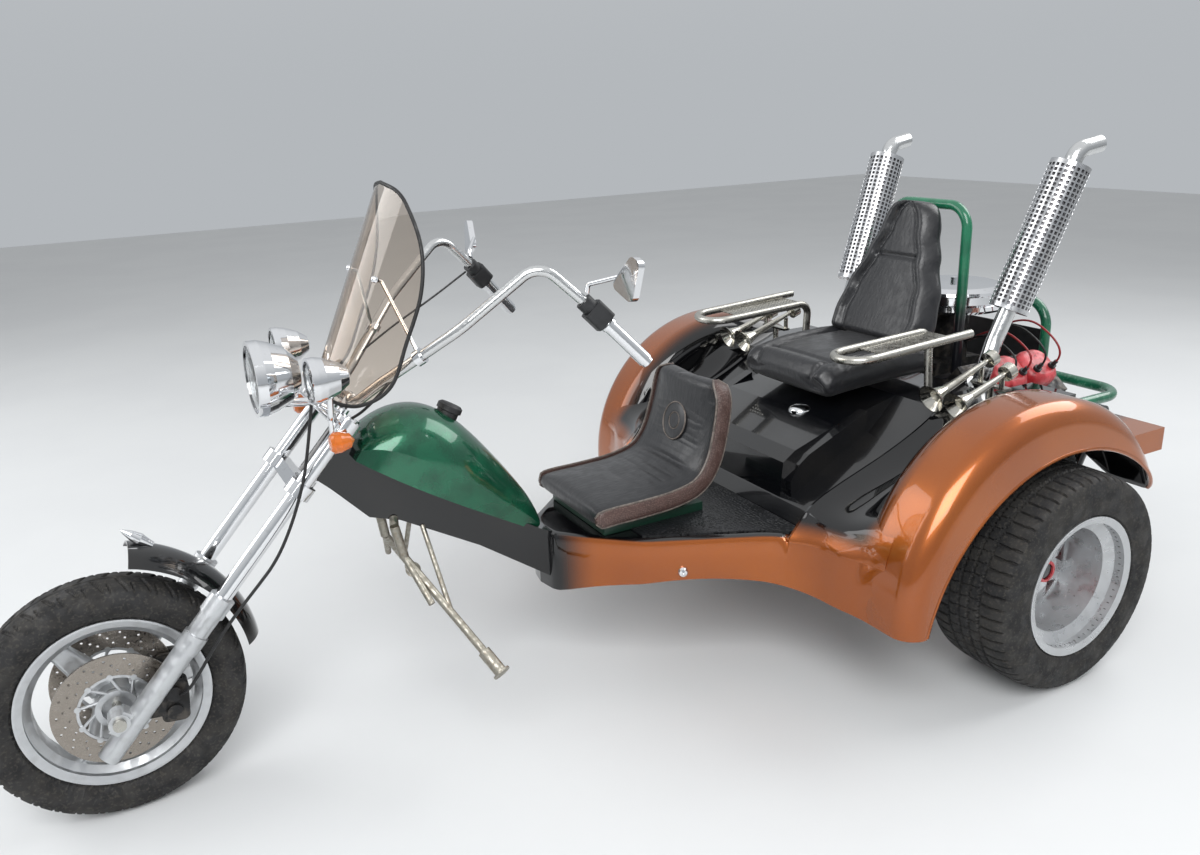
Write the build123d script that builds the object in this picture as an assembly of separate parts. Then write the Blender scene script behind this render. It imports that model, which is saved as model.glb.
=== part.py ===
from build123d import *
import math
import os

# Motorized trike, forward controls, raked fork, open rear engine between two wide rear wheels.
# Millimetres. +X forward, +Y to the rider's left, +Z up, ground at Z = 0.
# The origin is the middle of the overall length on the ground.

# Driving dimensions
WHEELBASE = 2403.0
REAR_OVERHANG = 940.0
FRONT_TYRE_R = 308.0
FRONT_TYRE_W = 138.0
FRONT_RIM_R = 219.5
FRONT_RIM_W = 104.0
REAR_TYRE_R = 322.0
REAR_TYRE_W = 274.0
REAR_RIM_R = 207.8
REAR_RIM_W = 262.0
REAR_TRACK_HALF = 779.0
RAKE_DEG = 42.5
RUN_GAP = 0.3
RIM_FLANGE_T = 7.0
BEAD_H = 15.0

# Rear axle line, from which everything along the vehicle is placed
AXLE_X = -(WHEELBASE + FRONT_TYRE_R - REAR_OVERHANG) / 2

# Fork: distances along the legs from the lower clamp, and across them
FORK_HALF = 130.0
FORK_TUBE_R = 20.5
SLIDER_R = 26.0
AXLE_DROP = 678.0
AXLE_LEAD = 34.0
SLIDER_TOP_DROP = 315.0
SLIDER_FOOT_DROP = 772.0
UPPER_CLAMP_RISE = 190.0
CLAMP_T = 34.0
STEM_BACK = 46.0
STEM_R = 14.0
HEAD_TUBE_R = 30.0
HEAD_GAP = 6.0

# Frame and body
SPINE_W = 104.0
DECK_Z = 470.0
SKIRT_Z = 292.0
SKIN = 6.0
TYRE_TO_FENDER = 32.0
FENDER_OVER_TYRE = 64.0
FENDER_IN_Y = REAR_TRACK_HALF - REAR_TYRE_W / 2 - TYRE_TO_FENDER
FENDER_OUT_Y = REAR_TRACK_HALF + REAR_TYRE_W / 2 - FENDER_OVER_TYRE
FENDER_R = 520.0
FENDER_CX = 80.0
FENDER_CZ = 330.0
FENDER_SKIN = 6.0
PEDESTAL_HALF = 450.0
PEDESTAL_TOP_Z = 745.0
TUNNEL_HALF = 270.0

os.makedirs("parts", exist_ok=True)


def ax(x):
    """Distance ahead of the rear axle as a model X."""
    return AXLE_X + x


def write(name, *solids):
    """One STEP file for one node."""
    flat = []
    for item in solids:
        flat.extend(item.solids())
    export_step(Compound(children=flat) if len(flat) > 1 else flat[0], f"parts/{name}.step")


def mirrored(shape):
    """The same shape on the other side of the centre plane."""
    return mirror(shape, about=Plane.XZ)


def rod(start, end, radius):
    """Round bar from one point to another."""
    axis = Vector(*end) - Vector(*start)
    plane = Plane(origin=start, z_dir=axis)
    return plane * Cylinder(radius, axis.length, align=(Align.CENTER, Align.CENTER, Align.MIN))


def tube(points, bends, radius, bore=0.0):
    """Round tube along straight runs joined by arcs."""
    path = FilletPolyline(*points, radius=bends)
    plane = Plane(origin=path @ 0, z_dir=path % 0)
    solid = sweep(plane * Circle(radius), path=path)
    if bore:
        solid -= sweep(plane * Circle(bore), path=path)
    return solid


def side_plate(outline, y_low, y_high):
    """A side outline of (x ahead of the axle, z) points, filled from y_low to y_high."""
    face = make_face(Polyline(*[(ax(x), 0, z) for x, z in outline], close=True))
    slab = extrude(face, amount=y_high - y_low, dir=(0, 1, 0))
    return Pos(0, y_low, 0) * slab


def at(x, y, z):
    """A point given as x ahead of the rear axle, y to the left and z above the ground."""
    return (ax(x), y, z)


def lathe(profile, start, direction):
    """Profile of (radius, distance) points turned about a line from start along direction."""
    face = make_face(Polyline(*[(r, 0, v) for r, v in profile], close=True))
    return Plane(origin=start, z_dir=direction) * revolve(face, Axis.Z, 360)


def turned(profile, centre):
    """Profile of (radius, y) points turned about a cross axle through centre."""
    points = [(centre[0] + r, centre[1] + y, centre[2]) for r, y in profile]
    face = make_face(Polyline(*points, close=True))
    return revolve(face, Axis(centre, (0, 1, 0)), 360)


FRONT_AXLE = (ax(WHEELBASE), 0.0, FRONT_TYRE_R)
RAKE = math.radians(RAKE_DEG)
UP = Vector(-math.sin(RAKE), 0, math.cos(RAKE))
AHEAD = Vector(math.cos(RAKE), 0, math.sin(RAKE))
FORK_ORIGIN = Vector(*FRONT_AXLE) + UP * AXLE_DROP - AHEAD * AXLE_LEAD
# In this plane x is the vehicle's left, y points back across the legs and z runs up them
FORK = Plane(origin=FORK_ORIGIN, x_dir=(0, 1, 0), z_dir=UP)


def on_fork(left, back, rise):
    """A point of the fork plane in the model frame."""
    return FORK_ORIGIN + Vector(0, left, 0) - AHEAD * back + UP * rise


def fork_rod(left, back, low, high, radius):
    """A bar parallel to the legs."""
    return rod(tuple(on_fork(left, back, low)), tuple(on_fork(left, back, high)), radius)


# Front wheel
FRONT_HUB_R = 46.0
FRONT_HUB_HALF = 58.0
FRONT_BORE_R = 10.0
DISC_R = 143.0
DISC_T = 5.0
DISC_Y = 74.0
CARRIER_R = 92.0
FRONT_SPOKES = 3
FIRST_SPOKE_DEG = 34.0
FRONT_WELL = 19.0


def tyre(centre, tyre_r, tyre_w, rim_r, rim_w, crown_half):
    """Closed ring with beads inside the rim flanges, bulged walls and a nearly flat crown."""
    half = tyre_w / 2
    bead_y = rim_w / 2 - RIM_FLANGE_T - 1
    outer = [(rim_r - BEAD_H + RUN_GAP, bead_y), (rim_r + 1, bead_y), (rim_r + 7, rim_w / 2 + 2),
             (rim_r + 0.35 * (tyre_r - rim_r), half - 1), (rim_r + 0.5 * (tyre_r - rim_r), half),
             (tyre_r - 20, half - 7), (tyre_r - 6, half - 22), (tyre_r, crown_half)]
    inner = [(rim_r - BEAD_H + RUN_GAP, bead_y - 14), (tyre_r - 24, half - 20), (tyre_r - 14, crown_half)]
    outline = outer + [(r, -y) for r, y in reversed(outer)]
    outline += [(r, -y) for r, y in inner] + [(r, y) for r, y in reversed(inner)]
    return turned(outline, centre)


def rim_barrel(centre, rim_r, rim_w, seat_w, well_depth):
    """Rolled rim: two flanges, two bead seats and the well between them."""
    half = rim_w / 2
    seat = rim_r - BEAD_H
    well = seat - well_depth
    seat_y = half - RIM_FLANGE_T - seat_w
    outer = [(rim_r, half), (rim_r, half - RIM_FLANGE_T), (seat, half - RIM_FLANGE_T), (seat, seat_y),
             (well, seat_y - well_depth / 2)]
    inner = [(well - 5, seat_y - well_depth / 2 + 3), (seat - 6, seat_y + 4), (seat - 6, half - 5), (rim_r - 5, half)]
    outline = outer + [(r, -y) for r, y in reversed(outer)]
    outline += [(r, -y) for r, y in reversed(inner)] + inner
    return turned(outline, centre)


def front_rim():
    """Cast wheel: rim, hub and three broad tapered spokes."""
    rim = rim_barrel(FRONT_AXLE, FRONT_RIM_R, FRONT_RIM_W, 14, FRONT_WELL)
    hub = turned([(FRONT_BORE_R + RUN_GAP, -FRONT_HUB_HALF), (FRONT_HUB_R, -FRONT_HUB_HALF),
                  (FRONT_HUB_R, FRONT_HUB_HALF), (FRONT_BORE_R + RUN_GAP, FRONT_HUB_HALF)], FRONT_AXLE)
    reach = FRONT_RIM_R - BEAD_H - FRONT_WELL - 3
    root = Plane.XY.offset(FRONT_HUB_R - 8) * RectangleRounded(74, 54, 16)
    tip = Plane.XY.offset(reach) * RectangleRounded(46, 34, 12)
    spoke = loft([root, tip])
    for i in range(FRONT_SPOKES):
        rim += Pos(*FRONT_AXLE) * Rot(0, FIRST_SPOKE_DEG + 360 / FRONT_SPOKES * i, 0) * spoke
    return rim + hub


def brake_disc(side):
    ring = turned([(CARRIER_R + 2, 0), (DISC_R, 0), (DISC_R, DISC_T), (CARRIER_R + 2, DISC_T)],
                  (FRONT_AXLE[0], side * DISC_Y - DISC_T / 2, FRONT_AXLE[2]))
    face = FRONT_HUB_HALF
    inner = [(FRONT_BORE_R + 8, face), (FRONT_HUB_R + 14, face), (FRONT_HUB_R + 18, DISC_Y - DISC_T / 2),
             (CARRIER_R + 2, DISC_Y - DISC_T / 2), (CARRIER_R + 2, DISC_Y + DISC_T / 2),
             (FRONT_HUB_R + 10, DISC_Y + DISC_T / 2), (FRONT_HUB_R + 4, face + 8), (FRONT_BORE_R + 8, face + 8)]
    carrier = turned([(r, side * y) for r, y in inner], FRONT_AXLE)
    windows = [Pos(FRONT_AXLE[0], side * DISC_Y, FRONT_AXLE[2]) * Rot(0, 60 * i, 0) * Pos(76, 0, 0)
               * Rot(90, 0, 0) * Cylinder(9, 40) for i in range(6)]
    for window in windows:
        carrier -= window
    return ring + carrier


# Rear wheels
REAR_DISC_Y = -44.0
REAR_HUB_R = 62.0
REAR_BORE_R = 24.0
REAR_WINDOWS = 8
REAR_WELL = 31.0
DRUM_R = 128.0
DRUM_DEPTH = 150.0
PLATE_GAP = 5.0
PLATE_T = 12.0
PLATE_IN_Y = REAR_TRACK_HALF - DRUM_DEPTH - PLATE_GAP - PLATE_T


def rear_centre(side):
    return (AXLE_X, side * REAR_TRACK_HALF, REAR_TYRE_R)


def rear_rim(side):
    """Deep-dished steel wheel with a ring of three-cornered windows."""
    centre = rear_centre(side)
    rim = rim_barrel(centre, REAR_RIM_R, REAR_RIM_W, 32, REAR_WELL)
    edge = REAR_RIM_R - BEAD_H - REAR_WELL - 3
    y = REAR_DISC_Y
    hole = REAR_BORE_R + 18
    disc = turned([(hole, side * y), (104, side * (y + 14)), (edge, side * y),
                   (edge, side * (y - 7)), (104, side * (y + 7)), (hole, side * (y - 7))], centre)
    window = make_face(Polyline((edge - 12, 0, -30), (edge - 12, 0, 30), (96, 0, 0), close=True))
    window = extrude(window, amount=60, dir=(0, 1, 0))
    for i in range(REAR_WINDOWS):
        turn = Rot(0, 360 / REAR_WINDOWS * i, 0)
        disc -= Pos(centre[0], centre[1] + side * y - 30, centre[2]) * turn * window
    return rim + disc


def rear_hub(side):
    centre = rear_centre(side)
    y = REAR_DISC_Y
    drum = [(REAR_BORE_R + RUN_GAP, -DRUM_DEPTH), (DRUM_R, -DRUM_DEPTH), (DRUM_R, y - 30), (REAR_HUB_R + 10, y - 7 - RUN_GAP),
            (REAR_BORE_R + 16, y - 7 - RUN_GAP), (REAR_BORE_R + 16, y + 34), (REAR_BORE_R + 8, y + 62),
            (REAR_BORE_R + RUN_GAP, y + 62)]
    return turned([(r, side * v) for r, v in drum], centre)


# Steering parts
def fork_clamps():
    """Lower and upper plates with their leg rings, and the steering stem between them."""
    parts = None
    for rise in (0.0, UPPER_CLAMP_RISE):
        wide = FORK_HALF - 22
        outline = Polyline((-wide, -11), (wide, -11), (wide, 18), (40, STEM_BACK + 5), (-40, STEM_BACK + 5), (-wide, 18),
                           close=True)
        web = FORK * Pos(0, 0, rise) * extrude(make_face(outline), CLAMP_T / 2, both=True)
        boss = FORK * Pos(0, STEM_BACK, rise) * Cylinder(HEAD_TUBE_R, CLAMP_T)
        plate = web + boss
        for side in (-1, 1):
            ring = FORK * Pos(side * FORK_HALF, 0, rise) * Cylinder(FORK_TUBE_R + 13, CLAMP_T)
            link = FORK * Pos(side * (FORK_HALF - 26), 10, rise) * Box(44, 44, CLAMP_T)
            plate += ring + link
        for side in (-1, 1):
            plate -= FORK * Pos(side * FORK_HALF, 0, rise) * Cylinder(FORK_TUBE_R, CLAMP_T + 4)
        parts = plate if parts is None else parts + plate
    return parts + fork_rod(0, STEM_BACK, 0, UPPER_CLAMP_RISE, STEM_R)


def fork_tube(side):
    return fork_rod(side * FORK_HALF, 0, -SLIDER_TOP_DROP - 60, UPPER_CLAMP_RISE + CLAMP_T / 2 + 5, FORK_TUBE_R)


def fork_slider(side):
    left = side * FORK_HALF
    leg = fork_rod(left, 0, -SLIDER_FOOT_DROP, -SLIDER_TOP_DROP, SLIDER_R)
    leg += fork_rod(left, 0, -SLIDER_TOP_DROP - 46, -SLIDER_TOP_DROP + 2, SLIDER_R + 5)
    leg += fork_rod(left, 0, -SLIDER_TOP_DROP - 150, -SLIDER_TOP_DROP - 104, SLIDER_R + 4)
    foot = rod((FRONT_AXLE[0], left - 24 * 1, FRONT_AXLE[2]), (FRONT_AXLE[0], left + 24, FRONT_AXLE[2]), 24)
    web = FORK * Pos(left, -AXLE_LEAD / 2, -AXLE_DROP) * Box(40, AXLE_LEAD + 16, 60)
    leg += foot + web
    leg -= fork_rod(left, 0, -SLIDER_TOP_DROP - 60, -SLIDER_TOP_DROP + 10, FORK_TUBE_R)
    leg -= rod((FRONT_AXLE[0], left - 40, FRONT_AXLE[2]), (FRONT_AXLE[0], left + 40, FRONT_AXLE[2]), FRONT_BORE_R)
    return leg


def front_axle():
    end = FORK_HALF + 34
    shaft = rod((FRONT_AXLE[0], -end, FRONT_AXLE[2]), (FRONT_AXLE[0], end, FRONT_AXLE[2]), FRONT_BORE_R)
    for side in (-1, 1):
        start = (FRONT_AXLE[0], side * (FORK_HALF + 25), FRONT_AXLE[2])
        shaft += rod(start, (FRONT_AXLE[0], side * end, FRONT_AXLE[2]), 15)
    return shaft


# Front fender: its arc is about a point above the axle, so that the blade rises away from the tyre
BLADE_R = 355.0
BLADE_UP = 40.0
BLADE_HALF = 78.0
BLADE_SAG = 36.0
BLADE_SKIN = 4.0
BLADE_START_DEG = 105.0
BLADE_SWEEP_DEG = 69.0
BLADE_LUG_DROP = 329.0


def front_fender():
    """Round-backed blade behind the crown of the tyre, with a lug to each slider."""
    centre = Vector(FRONT_AXLE[0], 0, FRONT_AXLE[2] + BLADE_UP)

    def edge(radius, y):
        return (centre.X + radius, y, centre.Z)

    inner_half = BLADE_HALF - BLADE_SKIN
    outer = ThreePointArc(edge(BLADE_R - BLADE_SAG, -BLADE_HALF), edge(BLADE_R, 0), edge(BLADE_R - BLADE_SAG, BLADE_HALF))
    inner = ThreePointArc(edge(BLADE_R - BLADE_SAG, inner_half), edge(BLADE_R - BLADE_SKIN, 0),
                          edge(BLADE_R - BLADE_SAG, -inner_half))
    face = make_face([outer, Line(outer @ 1, inner @ 0), inner, Line(inner @ 1, outer @ 0)])
    blade = revolve(face, Axis(tuple(centre), (0, -1, 0)), BLADE_SWEEP_DEG)
    blade = Pos(*centre) * Rot(0, -BLADE_START_DEG, 0) * Pos(*(centre * -1)) * blade
    collar = on_fork(0, 0, -BLADE_LUG_DROP)
    for side in (-1, 1):
        outer_end = (collar.X, side * (FORK_HALF - SLIDER_R - 5 - RUN_GAP), collar.Z)
        blade += rod(outer_end, (collar.X, side * (BLADE_HALF - 10), collar.Z), 9)
    return blade


def fender_ornament():
    """Plain streamlined finial standing on the front tip of the blade."""
    angle = math.radians(BLADE_START_DEG + 9)
    foot = Vector(FRONT_AXLE[0] + BLADE_R * math.cos(angle), 0, FRONT_AXLE[2] + BLADE_UP + BLADE_R * math.sin(angle))
    profile = [(0, 0), (9, 0), (11, 14), (15, 34), (11, 58), (4, 78), (0, 84)]
    ornament = lathe(profile, tuple(foot), (0.75, 0, 0.66))
    blade_body = Pos(FRONT_AXLE[0], 0, FRONT_AXLE[2] + BLADE_UP) * Rot(90, 0, 0) * Cylinder(BLADE_R, 40)
    return ornament - blade_body


# Calipers behind the sliders, each straddling its disc
CALIPER_ANGLE_DEG = 186.0
CALIPER_GAP = 5.0


def caliper(side):
    """Two-piston block over the rear edge of the disc, with its plate to the slider."""
    angle = math.radians(CALIPER_ANGLE_DEG)
    radial = Vector(math.cos(angle), 0, math.sin(angle))
    plane = Plane(origin=Vector(*FRONT_AXLE) + radial * 128, x_dir=radial, z_dir=(0, side, 0))
    block = plane * Pos(0, 0, 77) * extrude(RectangleRounded(64, 104, 16), 23, both=True)
    for along in (-24, 24):
        block += plane * Pos(-2, along, 102) * Cylinder(19, 10)
    slot_half = DISC_T / 2 + CALIPER_GAP
    block -= plane * Pos(-30, 0, DISC_Y) * Box(2 * (DISC_R + CALIPER_GAP - 98), 130, 2 * slot_half)
    plate = plane * Pos(-48, 0, FORK_HALF - SLIDER_R - RUN_GAP - 4) * Box(52, 60, 8)
    return block + plate


# Straight runs of the front brake hose: x ahead of the rear axle, y, z
HOSE_R = 4.0
HOSE_POINTS = [(1873, 166, 1000), (1892, 166, 905), (1915, 168, 815), (1955, 168, 715), (2003, 168, 630),
               (2060, 168, 572), (2117, 168, 515), (2170, 166, 452), (2216, 160, 385), (2246, 138, 335),
               (2262, 112, 318)]


def brake_hose():
    points = [at(*p) for p in HOSE_POINTS]
    bends = []
    for before, here, after in zip(points, points[1:], points[2:]):
        first = Vector(*here) - Vector(*before)
        second = Vector(*after) - Vector(*here)
        turn = math.radians(first.get_angle(second))
        bends.append(0.45 * min(first.length, second.length) / math.tan(turn / 2))
    return tube(points, bends, HOSE_R)


BAR_R = 13.5
BAR_RISE = 34.0
BAR_CENTRE = on_fork(0, 4, UPPER_CLAMP_RISE + CLAMP_T / 2 + BAR_RISE)
# Left half of the bar after its middle: x ahead of the rear axle, y, z
BAR_POINTS = [(1690, 128, 1015), (1530, 270, 1150), (1345, 338, 1298), (1250, 366, 1204), (1108, 412, 1046)]
BAR_BENDS = [40, 60, 200, 60, 160]


def handlebar():
    left = [(BAR_CENTRE.X, 0, BAR_CENTRE.Z), (BAR_CENTRE.X, 84, BAR_CENTRE.Z)]
    left += [(ax(x), y, z) for x, y, z in BAR_POINTS]
    half = tube(left, BAR_BENDS, BAR_R)
    return half + mirrored(half)


def bar_riser(side):
    """Post from the upper clamp to a split ring round the bar."""
    base = on_fork(side * 46, 4, UPPER_CLAMP_RISE + CLAMP_T / 2)
    top = Vector(BAR_CENTRE.X, side * 46, BAR_CENTRE.Z)
    riser = rod(tuple(base), tuple(top), 15)
    riser += rod((top.X, top.Y - 16, top.Z), (top.X, top.Y + 16, top.Z), BAR_R + 9)
    return riser - rod((top.X, top.Y - 20, top.Z), (top.X, top.Y + 20, top.Z), BAR_R)


GRIP_START = Vector(ax(BAR_POINTS[-2][0]), BAR_POINTS[-2][1], BAR_POINTS[-2][2])
GRIP_END = Vector(ax(BAR_POINTS[-1][0]), BAR_POINTS[-1][1], BAR_POINTS[-1][2])
GRIP_DIR = (GRIP_END - GRIP_START).normalized()


def grip_point(along):
    return tuple(GRIP_START + GRIP_DIR * along)


def bar_controls():
    """Chrome grip with end cap, on the left bar."""
    length = (GRIP_END - GRIP_START).length
    grip = rod(grip_point(length - 122), grip_point(length + 6), BAR_R + 5)
    grip += rod(grip_point(length + 6), grip_point(length + 16), BAR_R + 2)
    grip += rod(grip_point(length - 130), grip_point(length - 122), BAR_R + 8)
    return grip - rod(grip_point(length - 140), grip_point(length + 1), BAR_R + 0.1)


def switch_box():
    length = (GRIP_END - GRIP_START).length
    plane = Plane(origin=grip_point(length - 160), x_dir=(0, 1, 0), z_dir=GRIP_DIR)
    box = plane * extrude(RectangleRounded(46, 56, 12), 26, both=True)
    clamp = rod(grip_point(length - 212), grip_point(length - 184), BAR_R + 8)
    return (box + clamp) - rod(grip_point(length - 230), grip_point(length - 120), BAR_R + 0.1)


def bar_mirror():
    """Teardrop mirror with its stalk from the switch box clamp."""
    length = (GRIP_END - GRIP_START).length
    base = Vector(*grip_point(length - 200)) + Vector(0, 0, BAR_R + 2)
    head = base + Vector(-46, 86, 58)
    stalk = tube([tuple(base), tuple(base + Vector(0, 10, 34)), tuple(head)], [14], 6)
    glass = Plane(origin=tuple(head + Vector(0, 20, 0)), x_dir=(0, 1, 0), z_dir=(1, 0.15, 0.1))
    outline = make_face(Polyline((-40, -24), (44, -58), (62, 40), (30, 54), close=True))
    outline = fillet(outline.vertices(), 16)
    keep_out = rod(grip_point(length - 230), grip_point(length - 120), BAR_R + 8 + RUN_GAP / 3)
    return stalk + glass * extrude(outline, 9, both=True) - keep_out


# Screen
SCREEN_LEAN = 24.0
SCREEN_R = 236.0
SCREEN_T = 4.0
SCREEN_HALF = 200.0
SCREEN_FOOT = (1828.0, 984.0)
SCREEN_H = 556.0


def windscreen():
    """Strongly curved sheet, arched at the top and round at the lower corners."""
    plane = Plane(origin=(ax(SCREEN_FOOT[0]), 0, SCREEN_FOOT[1]), x_dir=(0, 1, 0),
                  z_dir=(-math.sin(math.radians(SCREEN_LEAN)), 0, math.cos(math.radians(SCREEN_LEAN))))
    ring = Cylinder(SCREEN_R, SCREEN_H) - Cylinder(SCREEN_R - SCREEN_T, SCREEN_H + 2)
    sheet = plane * Pos(0, SCREEN_R, SCREEN_H / 2) * ring
    outline = make_face(Polyline((-SCREEN_HALF, 80), (-150, 10), (150, 10), (SCREEN_HALF, 80), (SCREEN_HALF, 350),
                                 (150, 490), (90, SCREEN_H - 12), (-90, SCREEN_H - 12), (-150, 490),
                                 (-SCREEN_HALF, 350), close=True))
    outline = fillet(outline.vertices(), 40)
    front = Plane(origin=plane.origin, x_dir=(0, 1, 0), z_dir=plane.y_dir)
    cutter = front * Rot(0, 0, 180) * extrude(outline, SCREEN_R, both=False)
    return sheet & cutter


# Lamps on the fork
LAMP_BAR = (1838.0, 962.0)
HEADLIGHT = (1975.0, 0.0, 1040.0)
HEADLIGHT_R = 95.0
HEADLIGHT_SHELL = [(0, -120), (HEADLIGHT_R - 55, -112), (HEADLIGHT_R - 25, -86), (HEADLIGHT_R - 7, -46),
                   (HEADLIGHT_R, -24), (HEADLIGHT_R, 0)]
SPOT = (1880.0, 200.0, 1065.0)
SPOT_R = 55.0
SPOT_SHELL = [(0, -98), (SPOT_R - 33, -90), (SPOT_R - 16, -66), (SPOT_R - 4, -34), (SPOT_R, -16), (SPOT_R, 0)]
SIGNAL = (1846.0, 196.0, 906.0)
SIGNAL_R = 26.0


def headlight():
    """Round bowl open at the front behind its lens."""
    r = HEADLIGHT_R
    inside = [(r - 11, 0), (r - 11, -12), (r - 16, -24), (r - 30, -62), (r - 58, -92), (0, -100)]
    return lathe(HEADLIGHT_SHELL + inside, at(*HEADLIGHT), (1, 0, 0))


def spot_lamp(side):
    x, y, z = SPOT
    r = SPOT_R
    inside = [(r - 8, 0), (r - 8, -12), (r - 14, -30), (r - 30, -66), (0, -78)]
    return lathe(SPOT_SHELL + inside, at(x, side * y, z), (1, 0, 0))


def lamp_lens(centre, radius):
    """Domed glass inside a lamp's rim."""
    profile = [(0, 4), (radius * 0.6, 0), (radius - RUN_GAP, -6), (radius - RUN_GAP, -11), (0, -8)]
    return lathe(profile, at(*centre), (1, 0, 0))


def turn_signal(side):
    x, y, z = SIGNAL
    r = SIGNAL_R
    profile = [(0, 4), (r - 8, 2), (r, -6), (r, -22), (r - 8, -46), (0, -58)]
    return lathe(profile, at(x, side * y, z), (1, 0, 0))


def lamp_bracket():
    """Bar across the upper clamp that carries the headlight, the spot lamps and the signals."""
    bar_x, bar_z = LAMP_BAR
    spot_x = SPOT[0] - 45
    spot_foot = SPOT[2] - SPOT_R + 16
    points = [at(bar_x, 0, bar_z), at(bar_x, SPOT[1] - 6, bar_z), at(spot_x, SPOT[1], spot_foot)]
    half = tube(points, [18], 7)
    bracket = half + mirrored(half)
    bracket += rod(at(bar_x, 0, bar_z), at(HEADLIGHT[0] - 60, 0, HEADLIGHT[2] - 70), 11)
    bracket += rod(at(bar_x, 0, bar_z), tuple(on_fork(0, 8, UPPER_CLAMP_RISE)), 11)
    for side in (-1, 1):
        bracket += rod(at(bar_x, side * (SPOT[1] - 12), bar_z), at(bar_x, side * (SPOT[1] - 12), SIGNAL[2]), 6)
        bracket -= turn_signal(side)
        bracket -= lathe(SPOT_SHELL + [(0, 0)], at(SPOT[0], side * SPOT[1], SPOT[2]), (1, 0, 0))
    bracket -= lathe(HEADLIGHT_SHELL + [(0, 0)], at(*HEADLIGHT), (1, 0, 0))
    return bracket - fork_clamps()


SCREEN_BOLT_Y = 112.0
SCREEN_BOLT_UP = 320.0
SCREEN_CLIP_Y = 74.0
SCREEN_CLIP_UP = 36.0
STAY_FOOT = (1610.0, 199.0, 1082.5)


def screen_point(y, up, depth):
    """A point at y and a height along the screen, depth behind its outer face."""
    lean = math.radians(SCREEN_LEAN)
    back = SCREEN_R - math.sqrt(SCREEN_R ** 2 - y ** 2) + depth
    return at(SCREEN_FOOT[0] - up * math.sin(lean) - back * math.cos(lean), y,
              SCREEN_FOOT[1] + up * math.cos(lean) - back * math.sin(lean))


def screen_bolt(side):
    return rod(screen_point(side * SCREEN_BOLT_Y, SCREEN_BOLT_UP, -8),
               screen_point(side * SCREEN_BOLT_Y, SCREEN_BOLT_UP, 16), 5)


def screen_fitting(side):
    """Bolt and stay from the screen to the bar, and the lower clip on the lamp bar."""
    head = Vector(*screen_point(side * SCREEN_BOLT_Y, SCREEN_BOLT_UP, 14))
    foot = Vector(*at(STAY_FOOT[0], side * STAY_FOOT[1], STAY_FOOT[2]))
    first = Vector(*at(BAR_POINTS[0][0], side * BAR_POINTS[0][1], BAR_POINTS[0][2]))
    second = Vector(*at(BAR_POINTS[1][0], side * BAR_POINTS[1][1], BAR_POINTS[1][2]))
    along = (second - first).normalized()
    fitting = screen_bolt(side) + rod(tuple(head), tuple(foot), 5)
    fitting += rod(tuple(foot - along * 10), tuple(foot + along * 10), BAR_R + 7)
    fitting -= rod(tuple(foot - along * 14), tuple(foot + along * 14), BAR_R + RUN_GAP)
    clip = rod(at(LAMP_BAR[0], side * SCREEN_CLIP_Y, LAMP_BAR[1] + 7), screen_point(side * SCREEN_CLIP_Y, SCREEN_CLIP_UP, 2), 5)
    return fitting, clip


# Frame
BEAM_FRONT = (1748.0, 814.0)
BEAM_REAR = (1250.0, 486.0)
TORSION_X = 430.0
TORSION_Z = 332.0
TORSION_R = 36.0
TORSION_HALF = FENDER_IN_Y - 38
RAIL_Y = 450.0
RAIL_Z = 248.0
RAIL_R = 20.0
HOOP_BASE_X = -660.0
CASE_HALF = 145.0
BUMPER_Z = 600.0
BUMPER_R = 19.0
BUMPER_HALF = 360.0


def frame_spine():
    """Box beam from the head tube down under the tank and back below the deck."""
    low = CLAMP_T / 2 + HEAD_GAP
    high = UPPER_CLAMP_RISE - CLAMP_T / 2 - HEAD_GAP
    neck = [on_fork(0, STEM_BACK, high - 6), on_fork(0, STEM_BACK, low + 6), on_fork(0, STEM_BACK + 54, low + 4)]
    front, joint, heel = [(p.X - AXLE_X, p.Z) for p in neck]
    outline = [front, joint, heel, (1740, 640), (1658, 612), (1440, 483), (1186, 300), (TORSION_X, 300),
               (TORSION_X, DECK_Z - SKIN - RUN_GAP), (1200, DECK_Z - SKIN - RUN_GAP), BEAM_REAR, BEAM_FRONT]
    beam = side_plate(outline, -SPINE_W / 2, SPINE_W / 2)
    beam += fork_rod(0, STEM_BACK, low, high, HEAD_TUBE_R)
    beam -= fork_rod(0, STEM_BACK, low - 10, high + 10, STEM_R + RUN_GAP)
    return beam - torsion_tube()


def torsion_tube():
    return rod(at(TORSION_X, -TORSION_HALF, TORSION_Z), at(TORSION_X, TORSION_HALF, TORSION_Z), TORSION_R)


def frame_rails():
    """Cross tube, two horns beside the gearbox and two rails that rise to the rear cross tube."""
    rails = torsion_tube()
    for side in (-1, 1):
        y = side * RAIL_Y
        rails += tube([at(TORSION_X, y, TORSION_Z - 4), at(TORSION_X - 60, y, RAIL_Z), at(-480, y, RAIL_Z),
                       at(HOOP_BASE_X, y, BUMPER_Z)], [50, 90], RAIL_R)
        rails += rod(at(TORSION_X, side * 190, TORSION_Z), at(60, side * 190, TORSION_Z), 24)
        rails += rod(at(-430, y, RAIL_Z), at(-430, side * (CASE_HALF + RUN_GAP), RAIL_Z), 14)
    return rails + rear_cross_tube(0)


def rear_cross_tube(grow):
    return rod(at(HOOP_BASE_X, -RAIL_Y - 20, BUMPER_Z), at(HOOP_BASE_X, RAIL_Y + 20, BUMPER_Z), 24 + grow)


# Tank: stations along the beam with the distance back, the half width and the height
TANK_STATIONS = [(-28, 88, 54), (20, 112, 138), (115, 131, 186), (300, 114, 156), (490, 66, 82), (580, 38, 26)]


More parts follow.
